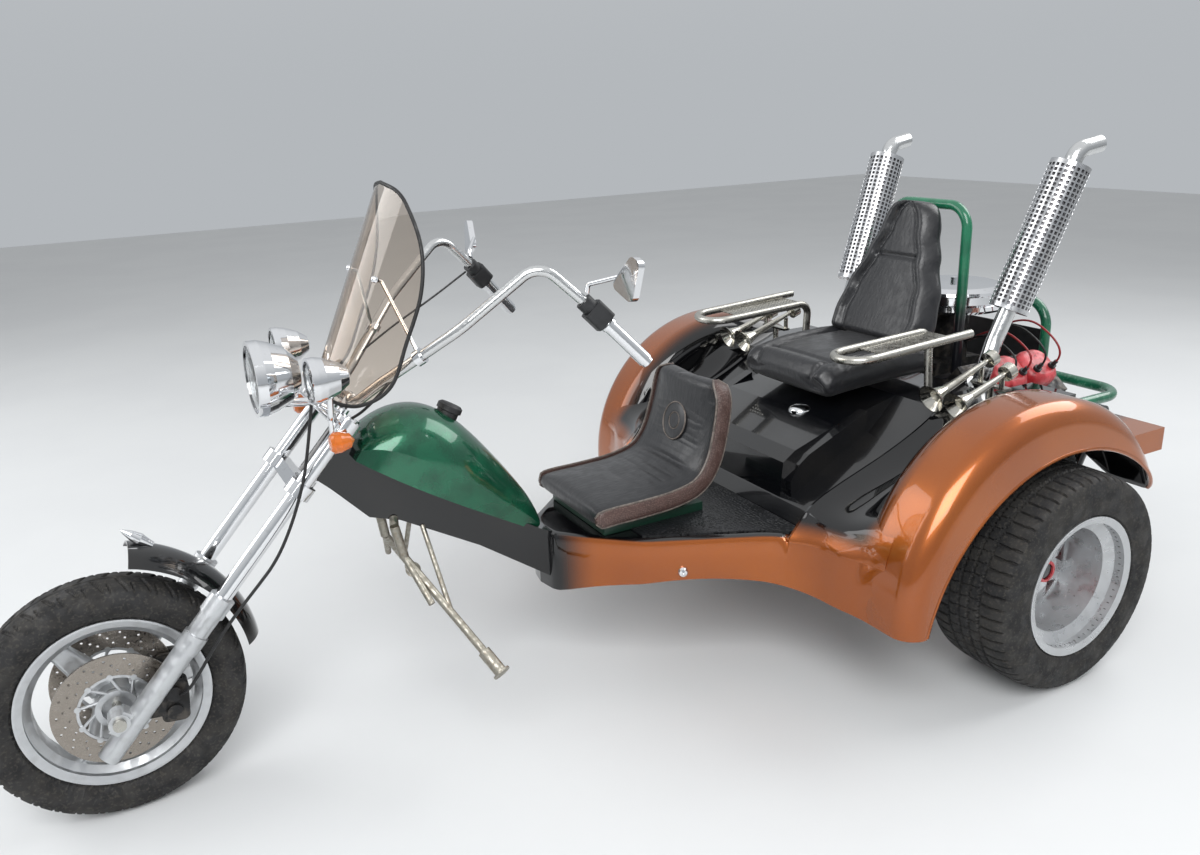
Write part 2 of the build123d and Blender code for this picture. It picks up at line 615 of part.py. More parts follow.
def fuel_tank():
    """Teardrop tank seated on the beam, as a loft through flat-bottomed arched sections."""
    front = Vector(*at(BEAM_FRONT[0] - 12, 0, BEAM_FRONT[1] - 8))
    along = (Vector(*at(BEAM_REAR[0], 0, BEAM_REAR[1])) - front).normalized()
    sections = []
    for back, half, height in TANK_STATIONS:
        plane = Plane(origin=front + along * back, x_dir=(0, -1, 0), z_dir=along)
        shoulder = height * 0.34
        sides = Polyline((half, shoulder), (half - 4, -12), (-half + 4, -12), (-half, shoulder))
        crown = ThreePointArc((-half, shoulder), (0, height), (half, shoulder))
        sections.append(plane * make_face([sides, crown]))
    return loft(sections) - grown_beam() - frame_spine()


def grown_beam():
    """Space round the beam that the tank leaves free."""
    outline = [(BEAM_FRONT[0] + 60, BEAM_FRONT[1] + 40), BEAM_FRONT, BEAM_REAR, (1200, DECK_Z), (1200, 300), (1658, 560)]
    return side_plate([(x, z + RUN_GAP) for x, z in outline], -SPINE_W / 2 - RUN_GAP, SPINE_W / 2 + RUN_GAP)


def filler_cap(tank):
    cap = lathe([(0, 0), (30, 0), (30, 60), (35, 62), (35, 76), (28, 82), (0, 84)], at(1512, 0, 820), (-0.5, 0, 0.86))
    return cap - tank


# Forward foot controls
def foot_peg(side):
    """Plate under the beam, a long bar out to the peg, its strut and the short pedal beside it."""
    top = at(1682, side * 70, 606)
    low = at(1668, side * 84, 520)
    joint = at(1589, side * 200, 382)
    end = at(1522, side * 352, 262)
    bar_dir = (Vector(*end) - Vector(*joint)).normalized()
    peg = rod(at(1676, side * 50, 622), top, 12)
    peg += rod(top, low, 13)
    peg += rod(low, joint, 11) + rod(joint, end, 11)
    peg += rod(tuple(Vector(*end) - bar_dir * 70), end, 17)
    peg += rod(end, tuple(Vector(*end) + bar_dir * 5), 24)
    peg += rod(at(1600, side * 50, 582), joint, 7)
    peg += rod(low, at(1637, side * 190, 418), 9)
    return peg - side_plate([(1740, 640), (1658, 612), (1440, 483), (1400, 700), (1740, 800)], -SPINE_W / 2, SPINE_W / 2)


# Body: plan edge of the tub as (x ahead of the rear axle, y), nose to flare
TUB_EDGE = [(1238, 0), (1230, 62), (1150, 152), (1040, 250), (845, 350), (640, 470), (596, 540),
            (586, FENDER_IN_Y - 1.5)]
TUB_REAR_X = -150.0
ARCH_X = 905.0
ARCH_TOP_Z = 344.0
ARCH_R = 898.0


def tub_outline(inset):
    """Half of the tub's plan edge, drawn in by inset, as points of the model's plan."""
    points = []
    for x, y in TUB_EDGE:
        points.append((ax(x - inset * 1.1), max(0, y - inset * 1.1) if y else 0))
    return points


def body_tub():
    """Moulded floor with its side skirts, open below, arched along the lower edge."""
    def solid(inset, low, high, rear):
        half = tub_outline(inset)
        plan = make_face(Polyline(*half, (ax(rear), half[-1][1]), (ax(rear), 0), close=True))
        block = Pos(0, 0, low) * extrude(plan, high - low)
        return block + mirrored(block)

    tub = solid(0, SKIRT_Z, DECK_Z, 560)
    tub -= solid(SKIN, SKIRT_Z - 10, DECK_Z - SKIN, 540)
    tub += solid(0, DECK_Z - SKIN, DECK_Z, TUB_REAR_X)
    tub -= rod(at(ARCH_X, -700, ARCH_TOP_Z - ARCH_R), at(ARCH_X, 700, ARCH_TOP_Z - ARCH_R), ARCH_R)
    slot = [(1300, 380), (1186, 298), (1000, 298), (1000, DECK_Z - SKIN), (1200, DECK_Z - SKIN), BEAM_REAR, (1300, 530)]
    return tub - side_plate(slot, -SPINE_W / 2, SPINE_W / 2)


# Rear fenders
OPENING_CX = 14.0
OPENING_CZ = 177.0
OPENING_R = 530.0
AXLE_HOLE_R = 150.0
FENDER_EDGE_R = 64.0
FENDER_LOW_Z = 300.0


def fender_drum(grow):
    """The full round form of a fender, from which the shell is cut; left side."""
    r = FENDER_R + grow
    inner_y = FENDER_IN_Y - grow
    outer_y = FENDER_OUT_Y + grow
    soft = FENDER_EDGE_R
    centre = at(FENDER_CX, 0, FENDER_CZ)
    corner = (centre[0] + r - soft * 0.29, outer_y - soft * 0.29)
    sides = Polyline((centre[0] + r, outer_y - soft), (centre[0] + r, inner_y), (centre[0], inner_y),
                     (centre[0], outer_y), (centre[0] + r - soft, outer_y))
    bend = ThreePointArc((centre[0] + r - soft, outer_y), corner, (centre[0] + r, outer_y - soft))
    face = Pos(0, 0, centre[2]) * make_face([sides, bend])
    return revolve(face, Axis(centre, (0, 1, 0)), 360)


def fender():
    """Left fender: inner wall, crown and outer face, open to the wheel and below."""
    shell = fender_drum(0) - fender_drum(-FENDER_SKIN)
    opening = rod(at(OPENING_CX, FENDER_IN_Y + FENDER_SKIN, OPENING_CZ),
                  at(OPENING_CX, FENDER_OUT_Y + 48, OPENING_CZ), OPENING_R)
    shell -= opening
    shell -= rod(at(0, FENDER_IN_Y - 50, REAR_TYRE_R), at(0, FENDER_IN_Y + 90, REAR_TYRE_R), AXLE_HOLE_R)
    return shell - Pos(*at(0, FENDER_IN_Y + 120, FENDER_LOW_Z - 300)) * Box(1400, 400, 600)


# Seat pedestal and shoulders
SHOULDER_TOP_Z = PEDESTAL_TOP_Z + 15


def seat_pedestal():
    """Wide ramp with a centre tunnel, and a raised fin on each side of the tunnel."""
    ramp = side_plate([(600, DECK_Z), (560, 500), (100, PEDESTAL_TOP_Z), (TUB_REAR_X, PEDESTAL_TOP_Z), (TUB_REAR_X, DECK_Z)],
                      -PEDESTAL_HALF, PEDESTAL_HALF)
    ramp += side_plate([(560, DECK_Z), (545, 610), (500, 640), (345, 690), (100, PEDESTAL_TOP_Z), (100, 600),
                        (300, DECK_Z)],
                       -TUNNEL_HALF, TUNNEL_HALF)
    for side in (-1, 1):
        low = min(side * TUNNEL_HALF, side * (TUNNEL_HALF + 36))
        ramp += side_plate([(540, 500), (545, 560), (515, 606), (478, 632), (253, 727), (253, 640)], low, low + 36)
    return ramp


def shoulder():
    """Left hollow-faced shoulder between the pedestal and the fender."""
    y_low = PEDESTAL_HALF + RUN_GAP
    y_high = FENDER_IN_Y - RUN_GAP
    curve = ThreePointArc(at(590, 0, DECK_Z + 6), at(360, 0, 560), at(100, 0, SHOULDER_TOP_Z))
    rest = Polyline(at(100, 0, SHOULDER_TOP_Z), at(-300, 0, SHOULDER_TOP_Z), at(-300, 0, 700),
                    at(TUB_REAR_X, 0, 640), at(TUB_REAR_X, 0, DECK_Z + RUN_GAP), at(590, 0, DECK_Z + RUN_GAP),
                    at(590, 0, DECK_Z + 6))
    face = make_face([curve, rest])
    return Pos(0, y_low, 0) * extrude(face, amount=y_high - y_low, dir=(0, 1, 0))


# Seats
def seat_block(outline, half, radius):
    """Side outline filled across the seat, with softened edges."""
    block = side_plate(outline, -half, half)
    return fillet(block.edges(), radius)


def rider_seat():
    """Scooped pan, and above it the back that leans rearwards."""
    pan = seat_block([(1132, 502), (1132, 560), (1100, 575), (860, 590), (790, 598), (740, 590), (770, 520)], 200, 9)
    back = seat_block([(812, 585), (794, 640), (755, 720), (722, 846), (662, 842), (668, 760), (712, 640), (732, 585)],
                      178, 9)
    return pan, back - pan


def passenger_seat():
    base = PEDESTAL_TOP_Z + RUN_GAP
    pan = seat_block([(336, base), (340, 796), (300, 840), (-30, 852), (-110, 850), (-120, base)], 228, 14)
    sections = []
    for x, z, half, depth in ((-78, 853, 236, 96), (-140, 1000, 205, 92), (-198, 1180, 140, 80), (-222, 1292, 96, 56)):
        plane = Plane(origin=at(x, 0, z), x_dir=(0, 1, 0), z_dir=(-0.33, 0, 0.94))
        sections.append(plane * RectangleRounded(2 * half, depth, 26))
    return pan, loft(sections) - pan


# Tubes above the body
HOOP_R = 17.0
SEAT_HOOP_X = -278.0
SEAT_HOOP_HALF = 165.0
SEAT_HOOP_TOP = 1290.0
SEAT_HOOP_FOOT = PEDESTAL_TOP_Z - 23
ARM_R = 13.0


def seat_hoop():
    """Inverted U behind the passenger's back, on two feet from the pedestal."""
    points = [at(SEAT_HOOP_X, SEAT_HOOP_HALF, SEAT_HOOP_FOOT), at(SEAT_HOOP_X, SEAT_HOOP_HALF, SEAT_HOOP_TOP),
              at(SEAT_HOOP_X, -SEAT_HOOP_HALF, SEAT_HOOP_TOP), at(SEAT_HOOP_X, -SEAT_HOOP_HALF, SEAT_HOOP_FOOT)]
    hoop = tube(points, [75, 75], HOOP_R)
    reach = TUB_REAR_X - SEAT_HOOP_X + HOOP_R
    for side in (-1, 1):
        hoop += Pos(*at(TUB_REAR_X - reach / 2, side * SEAT_HOOP_HALF, SEAT_HOOP_FOOT + 4)) * Box(reach, 40, 8)
    return hoop


def armrest():
    """Left armrest: a tube loop with its post on the pedestal, and the grille pad inside it."""
    loop = tube([at(-40, 420, 950), at(412, 420, 926), at(412, 284, 922), at(-6, 286, 940), at(-6, 300, PEDESTAL_TOP_Z + 3)],
                [66, 66, 40], ARM_R)
    loop += rod(at(-6, 300, PEDESTAL_TOP_Z + RUN_GAP), at(-6, 300, PEDESTAL_TOP_Z + 8), 24)
    loop += Pos(*at(148, 353, 931)) * Box(290, 126, 3)
    return loop


def horn(bell, driver):
    """Trumpet with a flared bell and a round driver at its back end."""
    start = Vector(*at(*driver))
    length = (Vector(*at(*bell)) - start).length
    profile = [(0, -28), (25, -28), (25, 0), (9, 4), (8, 20), (14, length - 60), (26, length - 20), (45, length),
               (42, length), (22, length - 22), (0, length - 70)]
    return lathe(profile, tuple(start), tuple(Vector(*at(*bell)) - start))


def horns():
    """Two trumpets of different length on one bracket; left side."""
    inner, outer = FENDER_IN_Y - 148, FENDER_IN_Y - 54
    middle = (inner + outer) / 2
    pair = horn((155, inner, 786), (-73, inner, 868)) + horn((155, outer, 786), (-39, outer, 853))
    pair += Pos(*at(-40, middle, 808)) * Box(26, 130, 8)
    pair += rod(at(-40, middle, SHOULDER_TOP_Z + RUN_GAP), at(-40, middle, 808), 10)
    pair += rod(at(-50, inner, 806), at(-50, inner, 850), 8) + rod(at(-30, outer, 806), at(-30, outer, 840), 8)
    return pair


# Engine
CRANK_Z = 350.0
BANK_TILT = 40.0
ENGINE_FRONT_X = -160.0
ENGINE_REAR_X = -590.0
BANK_REACH = 500.0
COVER_X = (-303.0, -443.0)


def engine_block():
    """Crankcase with two tilted banks, the sump, the intake between the banks and the crank pulley."""
    length = ENGINE_FRONT_X - ENGINE_REAR_X
    middle = (ENGINE_FRONT_X + ENGINE_REAR_X) / 2
    engine = Pos(*at(middle, 0, CRANK_Z - 10)) * Box(length, 2 * CASE_HALF, 240)
    engine += Pos(*at(middle, 0, CRANK_Z - 145)) * Box(length - 120, 190, 60)
    for side in (-1, 1):
        bank = Pos(0, 0, (BANK_REACH + 60) / 2) * Box(length - 40, 170, BANK_REACH - 60)
        engine += Pos(*at(middle, 0, CRANK_Z)) * Rot(-side * BANK_TILT, 0, 0) * bank
    engine += Pos(*at(middle - 30, 0, 640)) * Box(220, 120, 200)
    engine += rod(at(-420, 0, 740), at(-420, 0, 922), 62)
    engine += rod(at(ENGINE_REAR_X, 0, CRANK_Z), at(ENGINE_REAR_X - 42, 0, CRANK_Z), 78)
    return engine


def rocker_cover(side):
    """Ribbed cover on top of a bank, in two rounded lobes."""
    length = 136
    cover = None
    for x in COVER_X:
        lobe = Pos(0, 0, BANK_REACH + RUN_GAP + 34) * extrude(RectangleRounded(length, 130, 52), 34, both=True)
        lobe = fillet(lobe.faces().sort_by(Axis.Z)[-1].edges(), 26)
        lobe = Pos(*at(x, 0, CRANK_Z)) * Rot(-side * BANK_TILT, 0, 0) * lobe
        cover = lobe if cover is None else cover + lobe
    web = Pos(0, 0, BANK_REACH + RUN_GAP + 14) * Box(60, 110, 28)
    return cover + Pos(*at(sum(COVER_X) / 2, 0, CRANK_Z)) * Rot(-side * BANK_TILT, 0, 0) * web


def air_cleaner():
    """Shallow round drum with a domed lid and a wing nut."""
    return lathe([(0, 922.3), (172, 922.3), (188, 934), (190, 950), (182, 956), (182, 982), (190, 986), (186, 996),
                  (150, 1006), (30, 1010), (12, 1010), (12, 1024), (0, 1026)], at(-420, 0, 0), (0, 0, 1))


# Stack: points along the pipe from the bank to the tip, left side
STACK_LOW = (-280.0, 350.0, 980.0)
STACK_HIGH = (-456.0, 391.0, 1420.0)
PIPE_R = 27.0
SLEEVE_R = 62.0


def exhaust_pipe():
    """Header off the head ahead of the cover, up through the sleeve to the turned tip."""
    tilt = math.radians(BANK_TILT)
    head = BANK_REACH + RUN_GAP
    foot = Vector(*at(-196, head * math.sin(tilt), CRANK_Z + head * math.cos(tilt)))
    outward = Vector(0, math.sin(tilt), math.cos(tilt))
    path = [tuple(foot), tuple(foot + outward * 34), at(-206, 346, 806), at(-240, 341, 880), at(-474, 395, 1462),
            at(-562, 404, 1476)]
    pipe = tube(path, [40, 60, 150, 50], PIPE_R)
    return pipe + rod(tuple(foot), tuple(foot + outward * 10), PIPE_R + 9)


def stack_sleeve(pipe):
    sleeve = rod(at(*STACK_LOW), at(*STACK_HIGH), SLEEVE_R)
    inner_low = Vector(*at(*STACK_LOW)) * 0.99 + Vector(*at(*STACK_HIGH)) * 0.01
    inner_high = Vector(*at(*STACK_LOW)) * 0.01 + Vector(*at(*STACK_HIGH)) * 0.99
    return sleeve - rod(tuple(inner_low), tuple(inner_high), SLEEVE_R - 2.5) - pipe


# Gearbox, axles and their arms
CARRIER_HALF = 150.0


def transaxle():
    case = lathe([(0, -6), (137, -6), (137, 40), (116, 120), (105, 300), (80, 330), (70, 480), (0, 500)],
                 at(ENGINE_FRONT_X + 6.3, 0, REAR_TYRE_R), (1, 0, 0))
    case += rod(at(0, -CARRIER_HALF, REAR_TYRE_R), at(0, CARRIER_HALF, REAR_TYRE_R), 74)
    return case - torsion_tube()


def rear_axle(side):
    """Axle tube, bearing housing, backing plate, stub shaft and the flat arm to the cross tube."""
    z = REAR_TYRE_R
    axle = rod(at(0, side * (CARRIER_HALF + RUN_GAP), z), at(0, side * (PLATE_IN_Y - 22), z), 38)
    axle += rod(at(0, side * (PLATE_IN_Y - 34), z), at(0, side * PLATE_IN_Y, z), 62)
    axle += rod(at(0, side * PLATE_IN_Y, z), at(0, side * (PLATE_IN_Y + PLATE_T), z), DRUM_R - 4)
    axle += rod(at(0, side * PLATE_IN_Y, z), at(0, side * (REAR_TRACK_HALF + 13), z), REAR_BORE_R)
    low, high = sorted((side * (TORSION_HALF + 12), side * (TORSION_HALF + 20)))
    arm = side_plate([(TORSION_X + 40, TORSION_Z - 40), (TORSION_X + 40, TORSION_Z + 40), (0, z + 44), (0, z - 44)], low, high)
    stub = rod(at(TORSION_X, side * (TORSION_HALF + RUN_GAP), TORSION_Z), at(TORSION_X, side * (TORSION_HALF + 28), TORSION_Z), TORSION_R)
    return axle + arm + stub


# Rear hoop and bumper
def guard_hoop():
    points = [at(HOOP_BASE_X, 210, BUMPER_Z), at(HOOP_BASE_X, 210, 936), at(HOOP_BASE_X, -210, 936),
              at(HOOP_BASE_X, -210, BUMPER_Z)]
    return tube(points, [90, 90], HOOP_R) - rear_cross_tube(RUN_GAP)


def rear_panel():
    """Dark plate inside the hoop."""
    inner = 210 - HOOP_R - RUN_GAP
    return Pos(*at(HOOP_BASE_X, 0, 742)) * Box(5, 2 * inner, 190)


def rear_bumper():
    reach = REAR_OVERHANG - BUMPER_R
    half = tube([at(HOOP_BASE_X, BUMPER_HALF, BUMPER_Z), at(-reach, BUMPER_HALF, BUMPER_Z), at(-reach, 0, BUMPER_Z)],
                [100], BUMPER_R)
    return half + mirrored(half) - rear_cross_tube(RUN_GAP)


def marker_lamp():
    return lathe([(0, 0), (15, 0), (15, 6), (11, 13), (0, 16)], at(930, 307, 370), (0.456, 0.89, 0))


TAIL_LAMP_Y = REAR_TRACK_HALF - 89


def tail_lamp():
    """Left box on the back of the fender, with a flat lens face."""
    box = Pos(*at(-390, TAIL_LAMP_Y, 640)) * Box(140, 220, 70)
    return box - fender_drum(0)


def tail_lens():
    return Pos(*at(-463, TAIL_LAMP_Y, 640)) * Box(6, 200, 56)


write("front_tyre", tyre(FRONT_AXLE, FRONT_TYRE_R, FRONT_TYRE_W, FRONT_RIM_R, FRONT_RIM_W, 14))
write("front_rim", front_rim())
write("brake_discs", brake_disc(1), brake_disc(-1))
for label, side in (("left", 1), ("right", -1)):
    rear_tyre = tyre(rear_centre(side), REAR_TYRE_R, REAR_TYRE_W, REAR_RIM_R, REAR_RIM_W, REAR_TYRE_W / 2 - 60)
    write(f"rear_tyre_{label}", rear_tyre)
    write(f"rear_rim_{label}", rear_rim(side))
    write(f"rear_hub_{label}", rear_hub(side))
clamps = fork_clamps() + bar_riser(1) + bar_riser(-1)
write("fork_clamps", clamps)
write("fork_tubes", fork_tube(1), fork_tube(-1))
write("fork_sliders", fork_slider(1), fork_slider(-1))
write("front_axle", front_axle())
write("front_fender", front_fender())
write("handlebar", handlebar())
grip = bar_controls()
write("bar_grips", grip, mirrored(grip))
switch = switch_box()
write("switch_boxes", switch, mirrored(switch))
bar_mirror_left = bar_mirror()
write("bar_mirrors", bar_mirror_left, mirrored(bar_mirror_left))
bracket = lamp_bracket()
screen = windscreen() - screen_bolt(1) - screen_bolt(-1)
write("windscreen", screen)
fittings = []
for side in (1, -1):
    fittings += [piece - screen - bracket for piece in screen_fitting(side)]
write("screen_fittings", *fittings)
write("fender_ornament", fender_ornament())
write("brake_calipers", caliper(1), caliper(-1))
write("brake_hose", brake_hose())
write("front_lamps", headlight(), spot_lamp(1), spot_lamp(-1))
lenses = [lamp_lens(HEADLIGHT, HEADLIGHT_R - 11)]
lenses += [lamp_lens((SPOT[0], side * SPOT[1], SPOT[2]), SPOT_R - 8) for side in (1, -1)]
write("lamp_lenses", *lenses)
write("turn_signals", turn_signal(1), turn_signal(-1))
write("lamp_bracket", bracket)
write("frame_spine", frame_spine())
write("frame_rails", frame_rails())
tank = fuel_tank()
write("fuel_tank", tank)
write("filler_cap", filler_cap(tank))
write("foot_pegs", foot_peg(1), foot_peg(-1))
write("body_tub", body_tub())
left_fender = fender()
write("rear_fenders", left_fender, mirrored(left_fender))
left_shoulder = shoulder()
write("body_shoulders", left_shoulder, mirrored(left_shoulder))
write("seat_pedestal", seat_pedestal())
pan, back = rider_seat()
write("rider_seat_pan", pan)
write("rider_seat_back", back)
write("rider_seat_base", Pos(*at(930, 0, 486)) * Box(400, 380, 31.4))
pan, back = passenger_seat()
write("passenger_seat_pan", pan)
write("passenger_seat_back", back)
write("seat_hoop", seat_hoop())
left_arm = armrest()
write("armrests", left_arm, mirrored(left_arm))
left_horns = horns()
write("horns", left_horns, mirrored(left_horns))
write("engine_block", engine_block())
write("rocker_covers", rocker_cover(1), rocker_cover(-1))
write("air_cleaner", air_cleaner())
pipe = exhaust_pipe()
write("exhaust_pipes", pipe, mirrored(pipe))
sleeve = stack_sleeve(pipe)
write("stack_sleeves", sleeve, mirrored(sleeve))
write("transaxle", transaxle())
write("rear_axles", rear_axle(1), rear_axle(-1))
write("guard_hoop", guard_hoop())
write("rear_panel", rear_panel())
write("rear_bumper", rear_bumper())
marker = marker_lamp()
write("marker_lamps", marker, mirrored(marker))
lamp = tail_lamp()
write("tail_lamps", lamp, mirrored(lamp))
lens = tail_lens()
write("tail_lenses", lens, mirrored(lens))
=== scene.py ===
import math

import bmesh
import bpy
from mathutils import Matrix, Vector


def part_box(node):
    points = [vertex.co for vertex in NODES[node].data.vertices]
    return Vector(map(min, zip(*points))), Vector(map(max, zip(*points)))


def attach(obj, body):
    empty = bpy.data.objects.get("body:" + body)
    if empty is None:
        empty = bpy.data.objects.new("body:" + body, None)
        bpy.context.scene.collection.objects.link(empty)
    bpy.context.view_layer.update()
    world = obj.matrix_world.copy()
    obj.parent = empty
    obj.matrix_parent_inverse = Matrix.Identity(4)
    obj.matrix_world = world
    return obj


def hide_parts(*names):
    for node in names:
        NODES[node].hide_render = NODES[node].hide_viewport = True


bl_info = {
    "name": "Motorized Trike Looks",
    "version": (1, 0, 0),
    "blender": (4, 5, 0),
    "location": "View3D > Sidebar > Trike",
    "description": "Finishes, cushions, tread and small fittings for the solids of a motorized trike",
    "category": "Object",
}

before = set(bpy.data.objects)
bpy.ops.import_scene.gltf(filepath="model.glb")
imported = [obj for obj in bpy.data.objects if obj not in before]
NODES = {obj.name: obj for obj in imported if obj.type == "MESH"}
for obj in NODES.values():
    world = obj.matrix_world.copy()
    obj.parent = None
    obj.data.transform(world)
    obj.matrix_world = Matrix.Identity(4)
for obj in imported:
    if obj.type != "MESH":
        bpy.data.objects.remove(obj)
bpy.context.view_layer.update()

# Model X of the rear axle, from which places along the vehicle are counted, in metres
AXLE_X = sum(corner.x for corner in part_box("rear_rim_left")) / 2
# How far inside the tyres the fenders' inner walls stand, and so how far from the middle
TYRE_TO_FENDER = 0.032
FENDER_IN_Y = min(abs(corner.y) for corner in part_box("rear_tyre_left")) - TYRE_TO_FENDER


def at(x, y, z):
    """A point given as x ahead of the rear axle, y to the left and z above the ground."""
    return Vector((AXLE_X + x, y, z))


def linear(code):
    """An sRGB hex colour as linear red, green, blue and alpha."""
    parts = [int(code[i:i + 2], 16) / 255 for i in (1, 3, 5)]
    return [c / 12.92 if c <= 0.04045 else ((c + 0.055) / 1.055) ** 2.4 for c in parts] + [1.0]


def add(tree, kind, inputs=None, **settings):
    """A new node with its settings; its inputs are given values, or sockets to link from."""
    node = tree.nodes.new(kind)
    for name, value in settings.items():
        setattr(node, name, value)
    for name, value in (inputs or {}).items():
        if isinstance(value, bpy.types.NodeSocket):
            tree.links.new(value, node.inputs[name])
        else:
            node.inputs[name].default_value = value
    return node


# Finishes
class Finish:
    """A material with its shader and the object coordinates that its patterns read."""

    def __init__(self, name, colour, roughness, metallic=0.0, **sockets):
        self.material = bpy.data.materials.new(name)
        self.material.use_nodes = True
        self.tree = self.material.node_tree
        self.tree.nodes.clear()
        base = linear(colour) if isinstance(colour, str) else [*colour, 1.0]
        values = {"Base Color": base, "Roughness": roughness, "Metallic": metallic, **sockets}
        self.shader = add(self.tree, "ShaderNodeBsdfPrincipled", values)
        add(self.tree, "ShaderNodeOutputMaterial", {"Surface": self.shader.outputs[0]})
        self.place = add(self.tree, "ShaderNodeTexCoord").outputs["Object"]

    def spots(self, size_mm, low, high, detail=3.0, stretch=(1, 1, 1), first=0.38, last=0.62):
        """A cloudy value from low to high, in spots of a real size."""
        place = add(self.tree, "ShaderNodeMapping", {"Vector": self.place, "Scale": stretch}).outputs[0]
        noise = add(self.tree, "ShaderNodeTexNoise",
                    {"Vector": place, "Scale": 1000 / size_mm, "Detail": detail})
        limits = {"Value": noise.outputs[0], 1: first, 2: last, 3: low, 4: high}
        return add(self.tree, "ShaderNodeMapRange", limits, interpolation_type="SMOOTHSTEP").outputs[0]

    def along(self, direction, start, end):
        """A value that rises from 0 at start to 1 at end, in metres along a direction."""
        reach = add(self.tree, "ShaderNodeVectorMath", {0: self.place, 1: direction}, operation="DOT_PRODUCT")
        rise = add(self.tree, "ShaderNodeMapRange", {"Value": reach.outputs["Value"], 1: start, 2: end},
                   interpolation_type="SMOOTHSTEP")
        return rise.outputs[0]

    def cover(self, share, colour):
        """Another colour laid over what is there, where share is 1."""
        socket = self.shader.inputs["Base Color"]
        under = socket.links[0].from_socket if socket.is_linked else list(socket.default_value)
        over = linear(colour) if isinstance(colour, str) else colour
        layer = add(self.tree, "ShaderNodeMix", {0: share, 6: under, 7: over}, data_type="RGBA")
        self.tree.links.new(layer.outputs[2], socket)

    def vary(self, socket, value):
        self.tree.links.new(value, self.shader.inputs[socket])

    def relief(self, height, depth_mm, strength=1.0):
        """Bumps as deep as they are in reality, on top of any that are there."""
        socket = self.shader.inputs["Normal"]
        values = {"Height": height, "Strength": strength, "Distance": depth_mm / 1000}
        if socket.is_linked:
            values["Normal"] = socket.links[0].from_socket
        self.tree.links.new(add(self.tree, "ShaderNodeBump", values).outputs[0], socket)

    def grains(self, size_mm, low, high, near=0.1, far=0.6, randomness=1.0):
        """A value that goes from low in the middle of each grain of a real size to high at its edge."""
        grain = add(self.tree, "ShaderNodeTexVoronoi",
                    {"Vector": self.place, "Scale": 1000 / size_mm, "Randomness": randomness}).outputs[0]
        limits = {"Value": grain, 1: near, 2: far, 3: low, 4: high}
        return add(self.tree, "ShaderNodeMapRange", limits).outputs[0]


def lacquer(name, colour, roughness=0.12, metallic=0.0):
    """Sprayed and clear-coated paint: deep gloss with faint orange peel and swirl marks."""
    coat = {"Coat Weight": 0.9, "Coat Roughness": 0.04, "Specular IOR Level": 0.2}
    paint = Finish(name, colour, roughness, metallic, **coat)
    paint.vary("Roughness", paint.spots(140, roughness, roughness + 0.10))
    paint.relief(paint.spots(9, 0, 1, detail=1), 0.012, 0.4)
    paint.cover(paint.spots(220, 0.0, 0.03, detail=6, first=0.45, last=0.75), "#7d7466")
    return paint


def black_lacquer():
    """Black enamel on steel, a little dusty in patches."""
    return lacquer("Black Enamel On Steel", "#0b0c0e").material


def body_lacquer():
    """Black gel coat on moulded glass fibre: wide soft reflections and faint dust in patches."""
    return lacquer("Black Gel Coat", chosen_colour("body_black"), 0.14).material


# Where the black fades begin and are full: out from the fenders' inner walls, above the deck, at the
# deck's own edge, and towards the nose
INNER_FADE = (0.105, 0.022)
UPPER_FADE = (0.004, 0.046)
DECK_FADE = (-0.008, -0.002)
NOSE_FADE = (1.120, 1.215)
COPPER_METALLIC = 0.6


def body_paint():
    """Copper metallic airbrushed over black gel coat, with glinting flakes and soft black fades."""
    paint = lacquer("Copper Metallic Over Gel Coat", chosen_colour("copper"), 0.24, COPPER_METALLIC)
    tree = paint.tree
    paint.cover(paint.grains(1.6, 0.22, 0.0), "#cf8438")
    paint.cover(paint.spots(420, 0.0, 0.35, detail=2), "#7c380f")
    place = add(tree, "ShaderNodeVectorMath", {0: paint.place}, operation="ABSOLUTE").outputs[0]
    side = add(tree, "ShaderNodeSeparateXYZ", {0: place}).outputs["Y"]
    reach = {"Value": side, 1: FENDER_IN_Y + INNER_FADE[0], 2: FENDER_IN_Y + INNER_FADE[1]}
    inner = add(tree, "ShaderNodeMapRange", reach, interpolation_type="SMOOTHSTEP").outputs[0]
    above = paint.along((0, 0, 1), DECK_Z + UPPER_FADE[0], DECK_Z + UPPER_FADE[1])
    level = paint.along((0, 0, 1), DECK_Z + DECK_FADE[0], DECK_Z + DECK_FADE[1])
    within = add(tree, "ShaderNodeMath", {0: side, 1: RIDGE_Y}, operation="LESS_THAN").outputs[0]
    deck = add(tree, "ShaderNodeMath", {0: level, 1: within}, operation="MULTIPLY").outputs[0]
    upper = add(tree, "ShaderNodeMath", {0: inner, 1: above}, operation="MULTIPLY").outputs[0]
    nose = paint.along((1, 0, 0), AXLE_X + NOSE_FADE[0], AXLE_X + NOSE_FADE[1])
    black = add(tree, "ShaderNodeAttribute", attribute_name="under").outputs["Fac"]
    for area in (deck, nose, upper):
        black = add(tree, "ShaderNodeMath", {0: black, 1: area}, operation="MAXIMUM").outputs[0]
    paint.cover(black, "#0a0a0c")
    for socket, copper, full_black in (("Metallic", COPPER_METALLIC, 0.0), ("Roughness", 0.26, 0.09)):
        shift = add(tree, "ShaderNodeMapRange", {"Value": black, 3: copper, 4: full_black})
        paint.vary(socket, shift.outputs[0])
    return paint.material


def tank_lacquer():
    """Dark green metallic with fine flakes, darker in patches."""
    paint = lacquer("Green Metallic Tank Paint", chosen_colour("tank_green"), 0.22, 0.5)
    paint.cover(paint.grains(1.4, 0.30, 0.0), "#3f9c6f")
    paint.cover(paint.spots(90, 0.0, 0.4, detail=2), "#062a1e")
    return paint.material


